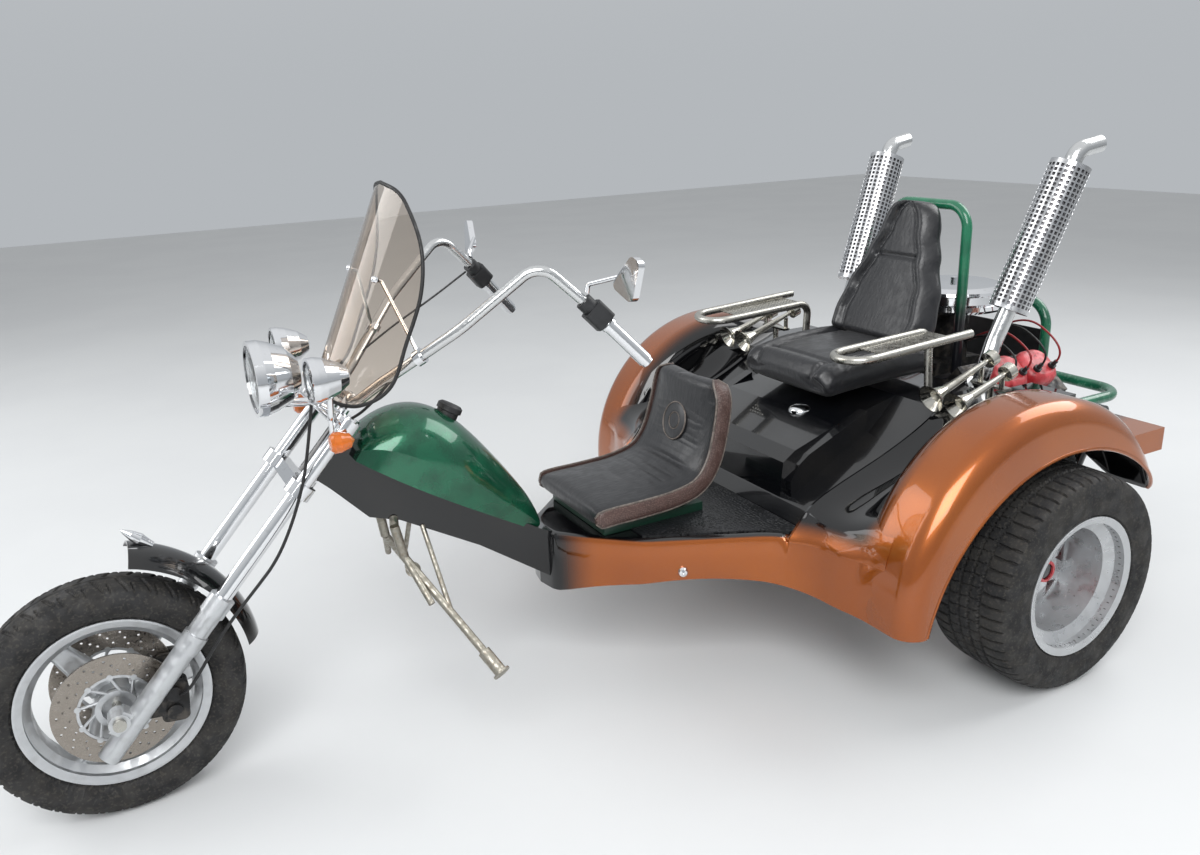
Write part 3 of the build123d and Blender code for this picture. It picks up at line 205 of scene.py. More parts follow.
def tube_green():
    """Green brushed-on enamel on bent tube, rubbed lighter in places."""
    paint = lacquer("Green Enamel On Tube", "#1b6a4c", 0.28)
    paint.cover(paint.spots(60, 0.0, 0.5), "#0e4331")
    paint.cover(paint.spots(14, 0.0, 0.3, first=0.55, last=0.7), "#7fae98")
    return paint.material


def base_green_painted_shade():
    """Green brushed paint on the wooden plinth under the rider's seat, its colour darkened as painted shade for
    the cushion's shadow.
    """
    # Painted shade: this base colour is darker than the paint itself, standing for the shadow under the cushion's
    # edge.
    paint = Finish("Dark Green Paint On Wood", "#0d3224", 0.45)
    paint.cover(paint.spots(40, 0.0, 0.6, stretch=(0.3, 1, 1)), "#0b2a1f")
    return paint.material


def hoop_green():
    """The same green at the top of the seat hoop, fading to black down its legs."""
    paint = lacquer("Green Fading To Black Enamel", "#1f7453", 0.26)
    paint.cover(paint.spots(60, 0.0, 0.4), "#134f3a")
    paint.cover(paint.along((0, 0, -1), -1.08, -0.90), "#15161a")
    return paint.material


def cover_red():
    """Red heat paint on cast covers, faded to pink and chalky in patches, with small dark oily spots."""
    coat = {"Coat Weight": 0.25, "Coat Roughness": 0.3}
    paint = Finish("Red Heat Paint", chosen_colour("cover_red"), 0.42, **coat)
    paint.cover(paint.spots(45, 0.0, 0.75), "#d8565c")
    paint.cover(paint.spots(16, 0.0, 0.55, first=0.55, last=0.72), "#4a1113")
    paint.vary("Roughness", paint.spots(22, 0.3, 0.6))
    paint.relief(paint.spots(3, 0, 1, detail=2), 0.25, 0.6)
    return paint.material


def chrome():
    """Bright chrome plate with fine wipe marks and a few dull spots."""
    plate = Finish("Chrome Plate", "#e2e3e5", 0.05, 1.0)
    plate.vary("Roughness", plate.spots(30, 0.03, 0.09, detail=5))
    plate.cover(plate.spots(14, 0.0, 0.15, first=0.6, last=0.75), "#9b968e")
    return plate.material


def dull_chrome():
    """Old chrome on the horns: hazy, with patches of tarnish."""
    plate = Finish("Tarnished Chrome", "#c9c6bd", 0.18, 1.0)
    plate.vary("Roughness", plate.spots(14, 0.12, 0.24, detail=3))
    plate.cover(plate.spots(16, 0.0, 0.3, first=0.5, last=0.7), "#8d8674")
    return plate.material


def polished_bar():
    """Polished stainless tube: soft streaks along it."""
    metal = Finish("Polished Stainless Tube", "#cfd0d0", 0.16, 1.0)
    metal.vary("Roughness", metal.spots(20, 0.12, 0.26, stretch=(1, 1, 4)))
    metal.relief(metal.spots(2, 0, 1, detail=2, stretch=(1, 0.2, 1)), 0.01, 0.5)
    return metal.material


def drawn_steel():
    """Bare welded steel tube, wiped clean: grey, scratched and slightly stained."""
    metal = Finish("Bare Steel Tube", "#b4b2ab", 0.36, 1.0)
    metal.vary("Roughness", metal.spots(18, 0.26, 0.4))
    metal.cover(metal.spots(35, 0.0, 0.18, first=0.5, last=0.72), "#8f897c")
    metal.relief(metal.spots(1.6, 0, 1, detail=3), 0.02, 0.6)
    return metal.material


def weathered_steel():
    """Foot control steel: galvanised once, now brownish with road dirt."""
    metal = Finish("Weathered Steel", "#9c988e", 0.45, 1.0)
    metal.vary("Roughness", metal.spots(12, 0.35, 0.7))
    metal.cover(metal.spots(18, 0.0, 0.35, first=0.5, last=0.7), "#7a6856")
    metal.relief(metal.spots(2.5, 0, 1, detail=4), 0.06, 0.7)
    return metal.material


def sleeve_steel():
    """Perforated stainless sheet: bright, with patches of heat haze."""
    metal = Finish("Perforated Stainless Sheet", "#c6c7c9", 0.2, 1.0)
    metal.vary("Roughness", metal.spots(25, 0.14, 0.34))
    metal.cover(metal.spots(70, 0.0, 0.15, first=0.5, last=0.8), "#a8977c")
    return metal.material


def cast_alloy():
    """Cast aluminium, clear-coated and dulled: fine sand texture and grey brake dust."""
    metal = Finish("Cast Aluminium", "#c3c5c7", 0.38, 0.9)
    metal.vary("Roughness", metal.spots(24, 0.3, 0.52))
    metal.cover(metal.spots(30, 0.0, 0.2, first=0.5, last=0.75), "#8a8882")
    metal.relief(metal.spots(1.5, 0, 1, detail=3), 0.05, 0.6)
    return metal.material


def wheel_silver():
    """Silver wheel paint with patches of brake dust."""
    paint = Finish("Silver Wheel Paint", "#bfc1c3", 0.34, 0.7, **{"Coat Weight": 0.4, "Coat Roughness": 0.2})
    paint.cover(paint.spots(40, 0.0, 0.15, first=0.5, last=0.75), "#8c8a84")
    paint.vary("Roughness", paint.spots(30, 0.26, 0.48))
    return paint.material


def disc_steel():
    """Ground brake steel, stained brown and uneven in its shine."""
    metal = Finish("Ground Brake Steel", "#968f87", 0.34, 1.0)
    metal.vary("Roughness", metal.spots(8, 0.24, 0.4))
    metal.cover(metal.spots(30, 0.0, 0.2), "#857d73")
    return metal.material


def hazed_steel():
    """Silencer body inside the sleeve: grey steel, hazed by heat."""
    metal = Finish("Hazed Steel Pipe", "#77767a", 0.45, 1.0)
    metal.cover(metal.spots(30, 0.0, 0.5), "#5a5856")
    return metal.material


def oily_iron():
    """Cast iron under old black paint and oil film."""
    metal = Finish("Oily Cast Iron", "#2a2a2b", 0.5, 0.6)
    metal.cover(metal.spots(28, 0.0, 0.7, first=0.45, last=0.65), "#5b5650")
    metal.cover(metal.spots(60, 0.0, 0.6, first=0.5, last=0.7), "#141210")
    metal.vary("Roughness", metal.spots(20, 0.3, 0.65))
    metal.relief(metal.spots(4, 0, 1, detail=4), 0.3, 0.8)
    return metal.material


def tyre_rubber():
    """Road-worn tyre rubber: dark grey with small patches of pale dust."""
    rubber = Finish("Tyre Rubber", "#232324", 0.78, **{"Specular IOR Level": 0.35})
    rubber.cover(rubber.spots(60, 0.0, 0.5), "#3a3835")
    rubber.cover(rubber.spots(7, 0.0, 0.35, first=0.5, last=0.7), "#55514a")
    rubber.vary("Roughness", rubber.spots(40, 0.62, 0.92))
    rubber.relief(rubber.spots(2.2, 0, 1, detail=3), 0.15, 0.5)
    return rubber.material


def hose_rubber():
    """Smooth black hose rubber with a faint sheen."""
    rubber = Finish("Hose Rubber", "#141415", 0.5)
    rubber.vary("Roughness", rubber.spots(15, 0.4, 0.62))
    rubber.relief(rubber.spots(1.2, 0, 1, detail=2), 0.03, 0.5)
    return rubber.material


def lead_rubber():
    """Red silicone lead jacket, satin, a little dusty."""
    rubber = Finish("Red Silicone Jacket", "#8e1f24", 0.42)
    rubber.cover(rubber.spots(20, 0.0, 0.4), "#5d1518")
    return rubber.material


def deck_rubber():
    """Black rubber matting, pressed with close round pebbles, glossy on their crowns."""
    rubber = Finish("Pebbled Rubber Mat", "#141517", 0.32)
    rubber.relief(rubber.grains(11, 1, 0, 0.15, 0.5, 0.6), 1.6, 0.9)
    rubber.cover(rubber.spots(60, 0.0, 0.5), "#222326")
    return rubber.material


def moulded_plastic():
    """Black moulded plastic: fine spark-eroded grain, greyer with age."""
    plastic = Finish("Black Moulded Plastic", "#17181a", 0.5)
    plastic.cover(plastic.spots(30, 0.0, 0.4), "#2b2c2e")
    plastic.relief(plastic.spots(0.9, 0, 1, detail=2), 0.04, 0.6)
    return plastic.material


def seat_vinyl():
    """Black upholstery vinyl: leather-like grain and creases that catch the light."""
    feel = {"Specular IOR Level": 0.55, "Sheen Weight": 0.08}
    vinyl = Finish("Black Upholstery Vinyl", chosen_colour("vinyl"), 0.4, **feel)
    vinyl.vary("Roughness", vinyl.spots(35, 0.3, 0.42))
    vinyl.relief(vinyl.grains(1.8, 0, 1), 0.06, 0.4)
    vinyl.relief(vinyl.spots(30, 0, 1, detail=1, stretch=(1, 2.5, 1)), 0.8, 0.3)
    return vinyl.material


def band_vinyl():
    """Brown embossed vinyl band, rubbed paler on the raised grain."""
    vinyl = Finish("Brown Embossed Vinyl", "#43322e", 0.42)
    vinyl.cover(vinyl.spots(30, 0.0, 0.4), "#553f3a")
    raised = vinyl.grains(5, 0.6, 0.0, 0.15, 0.55, 0.5)
    vinyl.cover(raised, "#74605a")
    vinyl.relief(raised, 1.2, 0.7)
    return vinyl.material


def piping_vinyl():
    """Thin grey-brown piping cord, shiny along its crown."""
    vinyl = Finish("Grey Vinyl Piping", "#6e655e", 0.4)
    vinyl.cover(vinyl.spots(12, 0.0, 0.6), "#35302d")
    return vinyl.material


def smoked_acrylic():
    """Smoked acrylic sheet: brown-grey see-through with polished faces and a few hair scratches."""
    sheet = Finish("Smoked Acrylic", "#e0d3c6", 0.01, **{"Transmission Weight": 1.0, "IOR": 1.49})
    sheet.vary("Roughness", sheet.spots(60, 0.0, 0.03, detail=6))
    return sheet.material


def lamp_glass():
    """Clear lamp glass with a moulded ripple."""
    glass = Finish("Clear Lamp Glass", "#f2f5f6", 0.02, **{"Transmission Weight": 1.0, "IOR": 1.5})
    glass.relief(glass.spots(16, 0, 1, detail=1, stretch=(1, 3, 1)), 0.6, 0.3)
    glass.vary("Roughness", glass.spots(20, 0.01, 0.06))
    return glass.material


def lens(name, colour):
    """Coloured lens plastic, clear-faced over a ribbed back."""
    clear = {"Transmission Weight": 0.35, "IOR": 1.49, "Coat Weight": 0.5}
    plastic = Finish(name, colour, 0.12, **clear)
    ribs = add(plastic.tree, "ShaderNodeTexWave", {"Vector": plastic.place, "Scale": 50.0},
               bands_direction="Z")
    plastic.relief(ribs.outputs[1], 0.4, 0.5)
    plastic.vary("Roughness", plastic.spots(10, 0.08, 0.2))
    return plastic.material


def orange_lens():
    """Orange turn signal lens, faded by the sun."""
    return lens("Orange Lens Plastic", "#e0761a")


def red_lens():
    """Red tail lamp lens."""
    return lens("Red Lens Plastic", "#a01716")


def chosen_colour(name):
    """One of the colours that the panel offers."""
    return tuple(getattr(bpy.context.scene.trike_colours, name))


# How each finish is made, and the carried-over solids that wear it
FINISH_MAKERS = {
    "black": black_lacquer, "body": body_lacquer, "copper": body_paint, "tank": tank_lacquer,
    "tube": tube_green, "seat_base": base_green_painted_shade, "hoop": hoop_green, "red": cover_red, "chrome": chrome,
    "horn": dull_chrome, "bar": polished_bar, "steel": drawn_steel, "weathered": weathered_steel,
    "sleeve": sleeve_steel, "hazed": hazed_steel, "alloy": cast_alloy, "silver": wheel_silver,
    "disc": disc_steel, "iron": oily_iron, "tyre": tyre_rubber, "hose": hose_rubber, "mat": deck_rubber,
    "lead_red": lead_rubber, "plastic": moulded_plastic, "vinyl": seat_vinyl, "band": band_vinyl,
    "piping": piping_vinyl, "screen": smoked_acrylic, "glass": lamp_glass, "orange": orange_lens,
    "red_lens": red_lens,
}
NODES_IN = {
    "black": "frame_spine frame_rails rear_axles front_fender",
    "body": "body_shoulders seat_pedestal",
    "copper": "body_tub rear_fenders tail_lamps",
    "tank": "fuel_tank",
    "seat_base": "rider_seat_base",
    "tube": "guard_hoop rear_bumper",
    "hoop": "seat_hoop",
    "red": "rocker_covers rear_hub_left rear_hub_right",
    "chrome": "air_cleaner marker_lamps fork_clamps fork_tubes fender_ornament bar_grips bar_mirrors "
              "screen_fittings front_lamps lamp_bracket",
    "horn": "horns",
    "bar": "handlebar exhaust_pipes",
    "steel": "armrests front_axle",
    "weathered": "foot_pegs",
    "sleeve": "stack_sleeves",
    "alloy": "fork_sliders front_rim transaxle",
    "silver": "rear_rim_left rear_rim_right",
    "disc": "brake_discs",
    "iron": "engine_block brake_calipers",
    "tyre": "front_tyre rear_tyre_left rear_tyre_right",
    "hose": "brake_hose",
    "plastic": "filler_cap switch_boxes rear_panel",
    "vinyl": "rider_seat_pan rider_seat_back passenger_seat_pan passenger_seat_back",
    "screen": "windscreen",
    "glass": "lamp_lenses",
    "orange": "turn_signals",
    "red_lens": "tail_lenses",
}
FINISHES = {}


def finish_of(key):
    """The finish's material, made once."""
    if key not in FINISHES:
        FINISHES[key] = FINISH_MAKERS[key]()
    return FINISHES[key]


# Mesh helpers
def new_piece(name, mesh, material, body, smooth_deg=35):
    """A finished mesh as a piece that rides on a body of the frame."""
    mesh.materials.clear()
    mesh.materials.append(material)
    piece = bpy.data.objects.new(name, mesh)
    bpy.context.scene.collection.objects.link(piece)
    mesh.shade_smooth()
    mesh.set_sharp_from_angle(angle=math.radians(smooth_deg))
    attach(piece, body)
    return piece


def mesh_from(name, points, faces):
    mesh = bpy.data.meshes.new(name)
    mesh.from_pydata([tuple(p) for p in points], [], faces)
    mesh.update()
    return mesh


def grid_faces(rows, columns, wrap_columns=False):
    """Quads of a grid of points, row by row."""
    faces = []
    for i in range(rows - 1):
        for j in range(columns if wrap_columns else columns - 1):
            k = (j + 1) % columns
            faces.append((i * columns + j, i * columns + k, (i + 1) * columns + k, (i + 1) * columns + j))
    return faces


def outward(mesh):
    """Turns a closed mesh's faces to point out."""
    work = bmesh.new()
    work.from_mesh(mesh)
    bmesh.ops.remove_doubles(work, verts=work.verts, dist=1e-5)
    bmesh.ops.recalc_face_normals(work, faces=work.faces)
    work.to_mesh(mesh)
    work.free()
    return mesh


def tube_mesh(points, radius, sides=12):
    """Round tube along points, as one closed mesh."""
    points = [Vector(p) for p in points]
    rings = []
    side = None
    for i, here in enumerate(points):
        ahead = points[min(i + 1, len(points) - 1)] - points[max(i - 1, 0)]
        ahead.normalize()
        if side is None:
            side = ahead.orthogonal().normalized()
        side = (side - ahead * side.dot(ahead)).normalized()
        rings.append(circle(here, side, ahead.cross(side), radius, sides))
    return section_mesh(rings)


def circle(centre, side, across, radius, count):
    """Evenly spaced points round a centre, in the plane of two directions."""
    turns = [2 * math.pi * k / count for k in range(count)]
    return [centre + (side * math.cos(turn) + across * math.sin(turn)) * radius for turn in turns]


def section_mesh(rings):
    """A closed skin over rings of points, capped at both ends."""
    count = len(rings[0])
    points = [p for ring in rings for p in ring]
    faces = grid_faces(len(rings), count, True)
    faces += [tuple(range(count)), tuple(len(points) - count + k for k in range(count))]
    return outward(mesh_from("skin", points, faces))


def rod_mesh(start, end, radius, sides=16):
    """A round rod between two points."""
    return tube_mesh([start, end], radius, sides)


def loop_mesh(points, radius, sides):
    """A round cord that runs back into its own start."""
    points = [Vector(p) for p in points]
    rings = []
    side = (points[1] - points[0]).orthogonal().normalized()
    for i, here in enumerate(points):
        ahead = (points[(i + 1) % len(points)] - points[i - 1]).normalized()
        side = (side - ahead * side.dot(ahead)).normalized()
        rings += circle(here, side, ahead.cross(side), radius, sides)
    return outward(mesh_from("loop", rings, closed_grid_faces(len(points), sides)))


def lathed(profile, sides):
    """A (radius, height) profile turned about the Z axis: a ring, or a solid if both ends are on the axis."""
    points = []
    for r, z in profile:
        points += circle(Vector((0, 0, z)), Vector((1, 0, 0)), Vector((0, 1, 0)), r, sides)
    solid = profile[0][0] == profile[-1][0] == 0
    faces = grid_faces(len(profile), sides, True) if solid else closed_grid_faces(len(profile), sides)
    return outward(mesh_from("turned", points, faces))


def closed_grid_faces(rows, columns):
    """Quads of a grid of points whose last row joins its first, as each row joins itself."""
    last = (rows - 1) * columns
    ends = [(last + k, last + (k + 1) % columns, (k + 1) % columns, k) for k in range(columns)]
    return grid_faces(rows, columns, True) + ends


def standing(low, high):
    """Sets a form made up the Z axis to start at one point and rise towards another."""
    return Matrix.Translation(low) @ (high - low).to_track_quat("Z", "Y").to_matrix().to_4x4()


def smooth_run(points, steps=8):
    """Points along a smooth curve through the given ones."""
    points = [Vector(p) for p in points]
    padded = [points[0] * 2 - points[1], *points, points[-1] * 2 - points[-2]]
    run = []
    for a, b, c, d in zip(padded, padded[1:], padded[2:], padded[3:]):
        for k in range(steps):
            t = k / steps
            run.append(0.5 * (2 * b + (c - a) * t + (2 * a - 5 * b + 4 * c - d) * t ** 2
                              + (3 * b - a - 3 * c + d) * t ** 3))
    return [*run, points[-1]]


def eased(share):
    """A share from 0 to 1 that starts and ends gently."""
    share = min(1.0, max(0.0, share))
    return share * share * (3 - 2 * share)


def joined(meshes):
    """Several meshes as one."""
    work = bmesh.new()
    for mesh in meshes:
        work.from_mesh(mesh)
        bpy.data.meshes.remove(mesh)
    result = bpy.data.meshes.new("joined")
    work.to_mesh(result)
    work.free()
    return result


def mirrored(mesh):
    """A copy on the other side of the centre plane, its faces still outward."""
    other = mesh.copy()
    other.transform(Matrix.Scale(-1, 4, (0, 1, 0)))
    other.flip_normals()
    return other


# Geometry node trees
# How near the edges of neighbouring cells lie, so that they are made one
SEAM = 0.00004


def start_tree(name):
    """A tree that takes a cell with how many columns and rows of it to make, their pitch and a material."""
    tree = bpy.data.node_groups.new(name, "GeometryNodeTree")
    for label, kind in (("Geometry", "Geometry"), ("Columns", "Int"), ("Rows", "Int"), ("Pitch", "Float"),
                        ("Material", "Material")):
        tree.interface.new_socket(label, in_out="INPUT", socket_type="NodeSocket" + kind)
    tree.interface.new_socket("Geometry", in_out="OUTPUT", socket_type="NodeSocketGeometry")
    return tree, tree.nodes.new("NodeGroupInput").outputs


def cells(tree, given):
    """One point for each cell, with its column and row."""
    size = {0: given["Columns"], 1: given["Rows"]}
    count = add(tree, "FunctionNodeIntegerMath", size, operation="MULTIPLY").outputs[0]
    points = add(tree, "GeometryNodePoints", {"Count": count}).outputs[0]
    order = {0: add(tree, "GeometryNodeInputIndex").outputs[0], 1: given["Columns"]}
    column = add(tree, "FunctionNodeIntegerMath", order, operation="MODULO").outputs[0]
    row = add(tree, "FunctionNodeIntegerMath", order, operation="DIVIDE_FLOOR").outputs[0]
    return points, column, row


def end_tree(tree, given, points, place, turned):
    """Sets the cell on the points at their places, and makes the copies one painted mesh."""
    moved = add(tree, "GeometryNodeSetPosition", {"Geometry": points, "Position": place}).outputs[0]
    copied = {"Points": moved, "Instance": given["Geometry"], **turned}
    copies = add(tree, "GeometryNodeInstanceOnPoints", copied).outputs[0]
    real = add(tree, "GeometryNodeRealizeInstances", {"Geometry": copies}).outputs[0]
    merged = add(tree, "GeometryNodeMergeByDistance", {"Geometry": real, "Distance": SEAM}).outputs[0]
    finish = {"Geometry": merged, "Material": given["Material"]}
    painted = add(tree, "GeometryNodeSetMaterial", finish).outputs[0]
    add(tree, "NodeGroupOutput", {"Geometry": painted})
    return tree


def ring_tree():
    """Copies a cell round the Z axis in rows, for tread and for the sleeves' holes."""
    tree, given = start_tree("Ring Of Cells")
    points, column, row = cells(tree, given)
    share = add(tree, "ShaderNodeMath", {0: column, 1: given["Columns"]}, operation="DIVIDE").outputs[0]
    turn = add(tree, "ShaderNodeMath", {0: share, 1: 2 * math.pi}, operation="MULTIPLY").outputs[0]
    lift = add(tree, "ShaderNodeMath", {0: row, 1: given["Pitch"]}, operation="MULTIPLY").outputs[0]
    place = add(tree, "ShaderNodeCombineXYZ", {"Z": lift}).outputs[0]
    angle = add(tree, "FunctionNodeAxisAngleToRotation", {"Axis": (0, 0, 1), "Angle": turn}).outputs[0]
    return end_tree(tree, given, points, place, {"Rotation": angle})


def grid_tree():
    """Copies a cell in flat rows and columns, for perforated plate."""
    tree, given = start_tree("Flat Grid Of Cells")
    points, column, row = cells(tree, given)
    x = add(tree, "ShaderNodeMath", {0: column, 1: given["Pitch"]}, operation="MULTIPLY").outputs[0]
    y = add(tree, "ShaderNodeMath", {0: row, 1: given["Pitch"]}, operation="MULTIPLY").outputs[0]
    place = add(tree, "ShaderNodeCombineXYZ", {"X": x, "Y": y}).outputs[0]
    return end_tree(tree, given, points, place, {})


TREES = {}


def grown(maker, cell, columns, rows, pitch, material):
    """What a tree makes of a cell, as a plain mesh."""
    if maker not in TREES:
        TREES[maker] = maker()
    tree = TREES[maker]
    source = bpy.data.objects.new("source", cell)
    bpy.context.scene.collection.objects.link(source)
    modifier = source.modifiers.new("grow", "NODES")
    modifier.node_group = tree
    sockets = {s.name: s.identifier for s in tree.interface.items_tree if s.in_out == "INPUT"}
    values = {"Columns": columns, "Rows": rows, "Pitch": pitch, "Material": material}
    for label, value in values.items():
        modifier[sockets[label]] = value
    return baked(source)


def baked(carrier):
    """The evaluated mesh of a working object, which goes."""
    graph = bpy.context.evaluated_depsgraph_get()
    mesh = bpy.data.meshes.new_from_object(carrier.evaluated_get(graph))
    bpy.data.objects.remove(carrier)
    return mesh


def applied(mesh, kind, **settings):
    """The plain mesh that a modifier makes of another."""
    carrier = bpy.data.objects.new("carrier", mesh)
    bpy.context.scene.collection.objects.link(carrier)
    modifier = carrier.modifiers.new("finish", kind)
    for name, value in settings.items():
        setattr(modifier, name, value)
    return baked(carrier)


def cut(mesh, *cutters):
    """A closed mesh less others."""
    for cutter in cutters:
        tool = bpy.data.objects.new("cutter", outward(cutter))
        bpy.context.scene.collection.objects.link(tool)
        mesh = applied(mesh, "BOOLEAN", operation="DIFFERENCE", solver="EXACT", object=tool)
        bpy.data.objects.remove(tool)
    return mesh


# Tyres
# Each tyre's outer radius and width, its rim's flange radius and width, and half its flat crown
REAR_TYRE_R, FRONT_TYRE_R = 0.322, 0.308
REAR_TYRE = (REAR_TYRE_R, 0.274, 0.2078, 0.262, 0.077)
FRONT_TYRE = (FRONT_TYRE_R, 0.138, 0.2195, 0.104, 0.014)
# How many pitches of tread go round each tyre, and how many steps make one
REAR_PITCHES, REAR_STEPS = 58, 11
FRONT_PITCHES, FRONT_STEPS = 36, 18


def tread_cell(profile, pitches, steps, depth_at):
    """One pitch of a tyre's outer skin: (radius, across) rows swept by its angle, with grooves cut in."""
    points = []
    for radius, across in profile:
        for k in range(steps + 1):
            share = k / steps
            turn = 2 * math.pi * share / pitches
            r = radius - depth_at(across, share)
            points.append((r * math.cos(turn), r * math.sin(turn), across))
    return mesh_from("tread", points, grid_faces(len(profile), steps + 1))


def tyre_profile(tyre_r, tyre_w, rim_r, rim_w, crown_half, step=0.003):
    """Rows of (radius, across) from the right bead over the crown to the left bead, closed inside."""
    half = tyre_w / 2
    bead = rim_w / 2 - 0.008
    seat_r = rim_r - 0.0147
    depth = tyre_r - rim_r
    foot = [(seat_r, bead), (rim_r + 0.001, bead), (rim_r + 0.007, rim_w / 2 + 0.002)]
    wall = [(rim_r + 0.35 * depth, half - 0.001), (rim_r + 0.5 * depth, half), (tyre_r - 0.020, half - 0.007),
            (tyre_r - 0.006, half - 0.022), (tyre_r, crown_half)]
    side = foot + [(p.x, p.y) for p in smooth_run([Vector((r, y, 0)) for r, y in wall], 4)]
    count = max(2, round(2 * crown_half / step))
    crown = [(tyre_r, crown_half - 2 * crown_half * i / count) for i in range(1, count)]
    liner_r = tyre_r - 0.024
    inner = [(seat_r, -bead + 0.014), (liner_r, -half + 0.020), (liner_r, half - 0.020),
             (seat_r, bead - 0.014), side[0]]
    return [*side, *crown, *[(r, -y) for r, y in reversed(side)], *inner]


REAR_GROOVE = 0.0075
REAR_GROOVE_HALF = 0.0042
REAR_GROOVES_AT = (0.016, 0.052)


def fading(reach, width):
    """1 well inside an edge, falling to 0 over its width."""
    return max(0.0, min(1.0, reach / width))


def rear_groove(across, share):
    """Depth of four wavy ring grooves, a slanted slot across each shoulder block, and fine sipes between."""
    s = abs(across)
    wave = 0.005 * abs(2 * ((share * 2) % 1) - 1) - 0.0025
    depth = 0.0
    if any(abs(s - centre - wave) < REAR_GROOVE_HALF for centre in REAR_GROOVES_AT):
        depth = REAR_GROOVE
    slot = (share + (0.2 if across > 0 else 0.55) + s * 1.6) % 1
    if s > 0.056 and slot < 0.17:
        depth = REAR_GROOVE * fading(0.131 - s, 0.012)
    sipe = (share + 0.3 + across * 4) % 1
    if s < 0.05 and sipe < 0.09:
        depth = max(depth, 0.005)
    return 0.0 if s > 0.132 else depth


def front_groove(across, share):
    """Depth of slanted road grooves that lean the other way on each side, and one round the middle."""
    s = abs(across)
    if s < 0.0022:
        return 0.004
    lean = (share + (0.0 if across > 0 else 0.5) + s * 9.0) % 1
    if 0.008 < s < 0.058 and lean < 0.15:
        return 0.005 * fading(0.060 - s, 0.010)
    second = (share + (0.5 if across > 0 else 0.0) + s * 5.0) % 1
    if 0.030 < s < 0.062 and second < 0.10:
        return 0.004 * fading(0.064 - s, 0.010)
    return 0.0


def set_wheel(mesh, centre):
    """Turns a mesh made round the Z axis to lie about a cross axle."""
    mesh.transform(Matrix.Translation(centre) @ Matrix.Rotation(math.radians(-90), 4, "X"))
    return mesh


class TRIKE_OT_tyres(bpy.types.Operator):
    """Makes the three tyres with their tread from one pitch copied round the wheel"""

    bl_idname = "trike.tyres"
    bl_label = "Tyres"

    def execute(self, context):
        material = finish_of("tyre")
        rear = (tyre_profile(*REAR_TYRE), REAR_PITCHES, REAR_STEPS, rear_groove)
        front = (round_crown(tyre_profile(*FRONT_TYRE)), FRONT_PITCHES, FRONT_STEPS, front_groove)
        for name, body, (profile, pitches, steps, groove_depth) in (
                ("rear_tyre_left", "rear_wheel_left", rear), ("rear_tyre_right", "rear_wheel_right", rear),
                ("front_tyre", "front_wheel", front)):
            low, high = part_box(name)
            cell = tread_cell(profile, pitches, steps, groove_depth)
            mesh = grown(ring_tree, cell, pitches, 1, 0.0, material)
            set_wheel(outward(mesh), (low + high) / 2)
            piece = new_piece(name + "_tread", mesh, material, body, 28)
            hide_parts(name)
        return {"FINISHED"}


def round_crown(profile, step=0.003, shoulder=0.045):
    """The front tyre's rows with more of them over its round crown."""
    rows = []
    for (r, y), (r2, y2) in zip(profile, profile[1:]):
        rows.append((r, y))
        if min(r, r2) > FRONT_TYRE_R - shoulder:
            count = max(1, round(math.hypot(r2 - r, y2 - y) / step))
            rows += [(r + (r2 - r) * k / count, y + (y2 - y) * k / count) for k in range(1, count)]
    return [*rows, profile[-1]]


# Exhaust stacks
SLEEVE_R = 0.062
SLEEVE_SHEET = 0.0015
SLEEVE_COLUMNS = 24
SLEEVE_LOW, SLEEVE_HIGH = (-0.280, 0.350, 0.980), (-0.456, 0.391, 1.420)
SLEEVE_BAND = 0.012
PIPE_BORES = (0.029, 0.0285)
SILENCER_R = 0.0545


def square_ring(corner=1.0):
    """Eight points of a square of half width 1, its corners drawn in by a factor."""
    ring = []
    for k in range(8):
        turn = math.pi * k / 4
        edge = (corner if k % 2 else 1.0) / max(abs(math.cos(turn)), abs(math.sin(turn)))
        ring.append((math.cos(turn) * edge, math.sin(turn) * edge))
    return ring


def holed(outer, inner):
    """A cell of sheet between its faces' outer points and its hole's points, each face's in turn."""
    n = len(outer[0])
    points = outer[0] + inner[0] + outer[1] + inner[1]
    faces = []
    for k in range(n):
        m = (k + 1) % n
        faces += [(k, m, n + m, n + k), (2 * n + m, 2 * n + k, 3 * n + k, 3 * n + m),
                  (n + k, n + m, 3 * n + m, 3 * n + k)]
    return mesh_from("cell", points, faces)


def sleeve_cell(column_deg, pitch, hole):
    """A curved square of sleeve with a rounded square hole through it, about the Z axis."""
    half_turn = math.radians(column_deg) / 2
    outer, inner = [], []
    for r in (SLEEVE_R, SLEEVE_R - SLEEVE_SHEET):
        outer.append([(r * math.cos(x * half_turn), r * math.sin(x * half_turn), y * pitch / 2)
                      for x, y in square_ring()])
        inner.append([(r * math.cos(x * hole / SLEEVE_R), r * math.sin(x * hole / SLEEVE_R), y * hole)
                      for x, y in square_ring(0.93)])
    return holed(outer, inner)


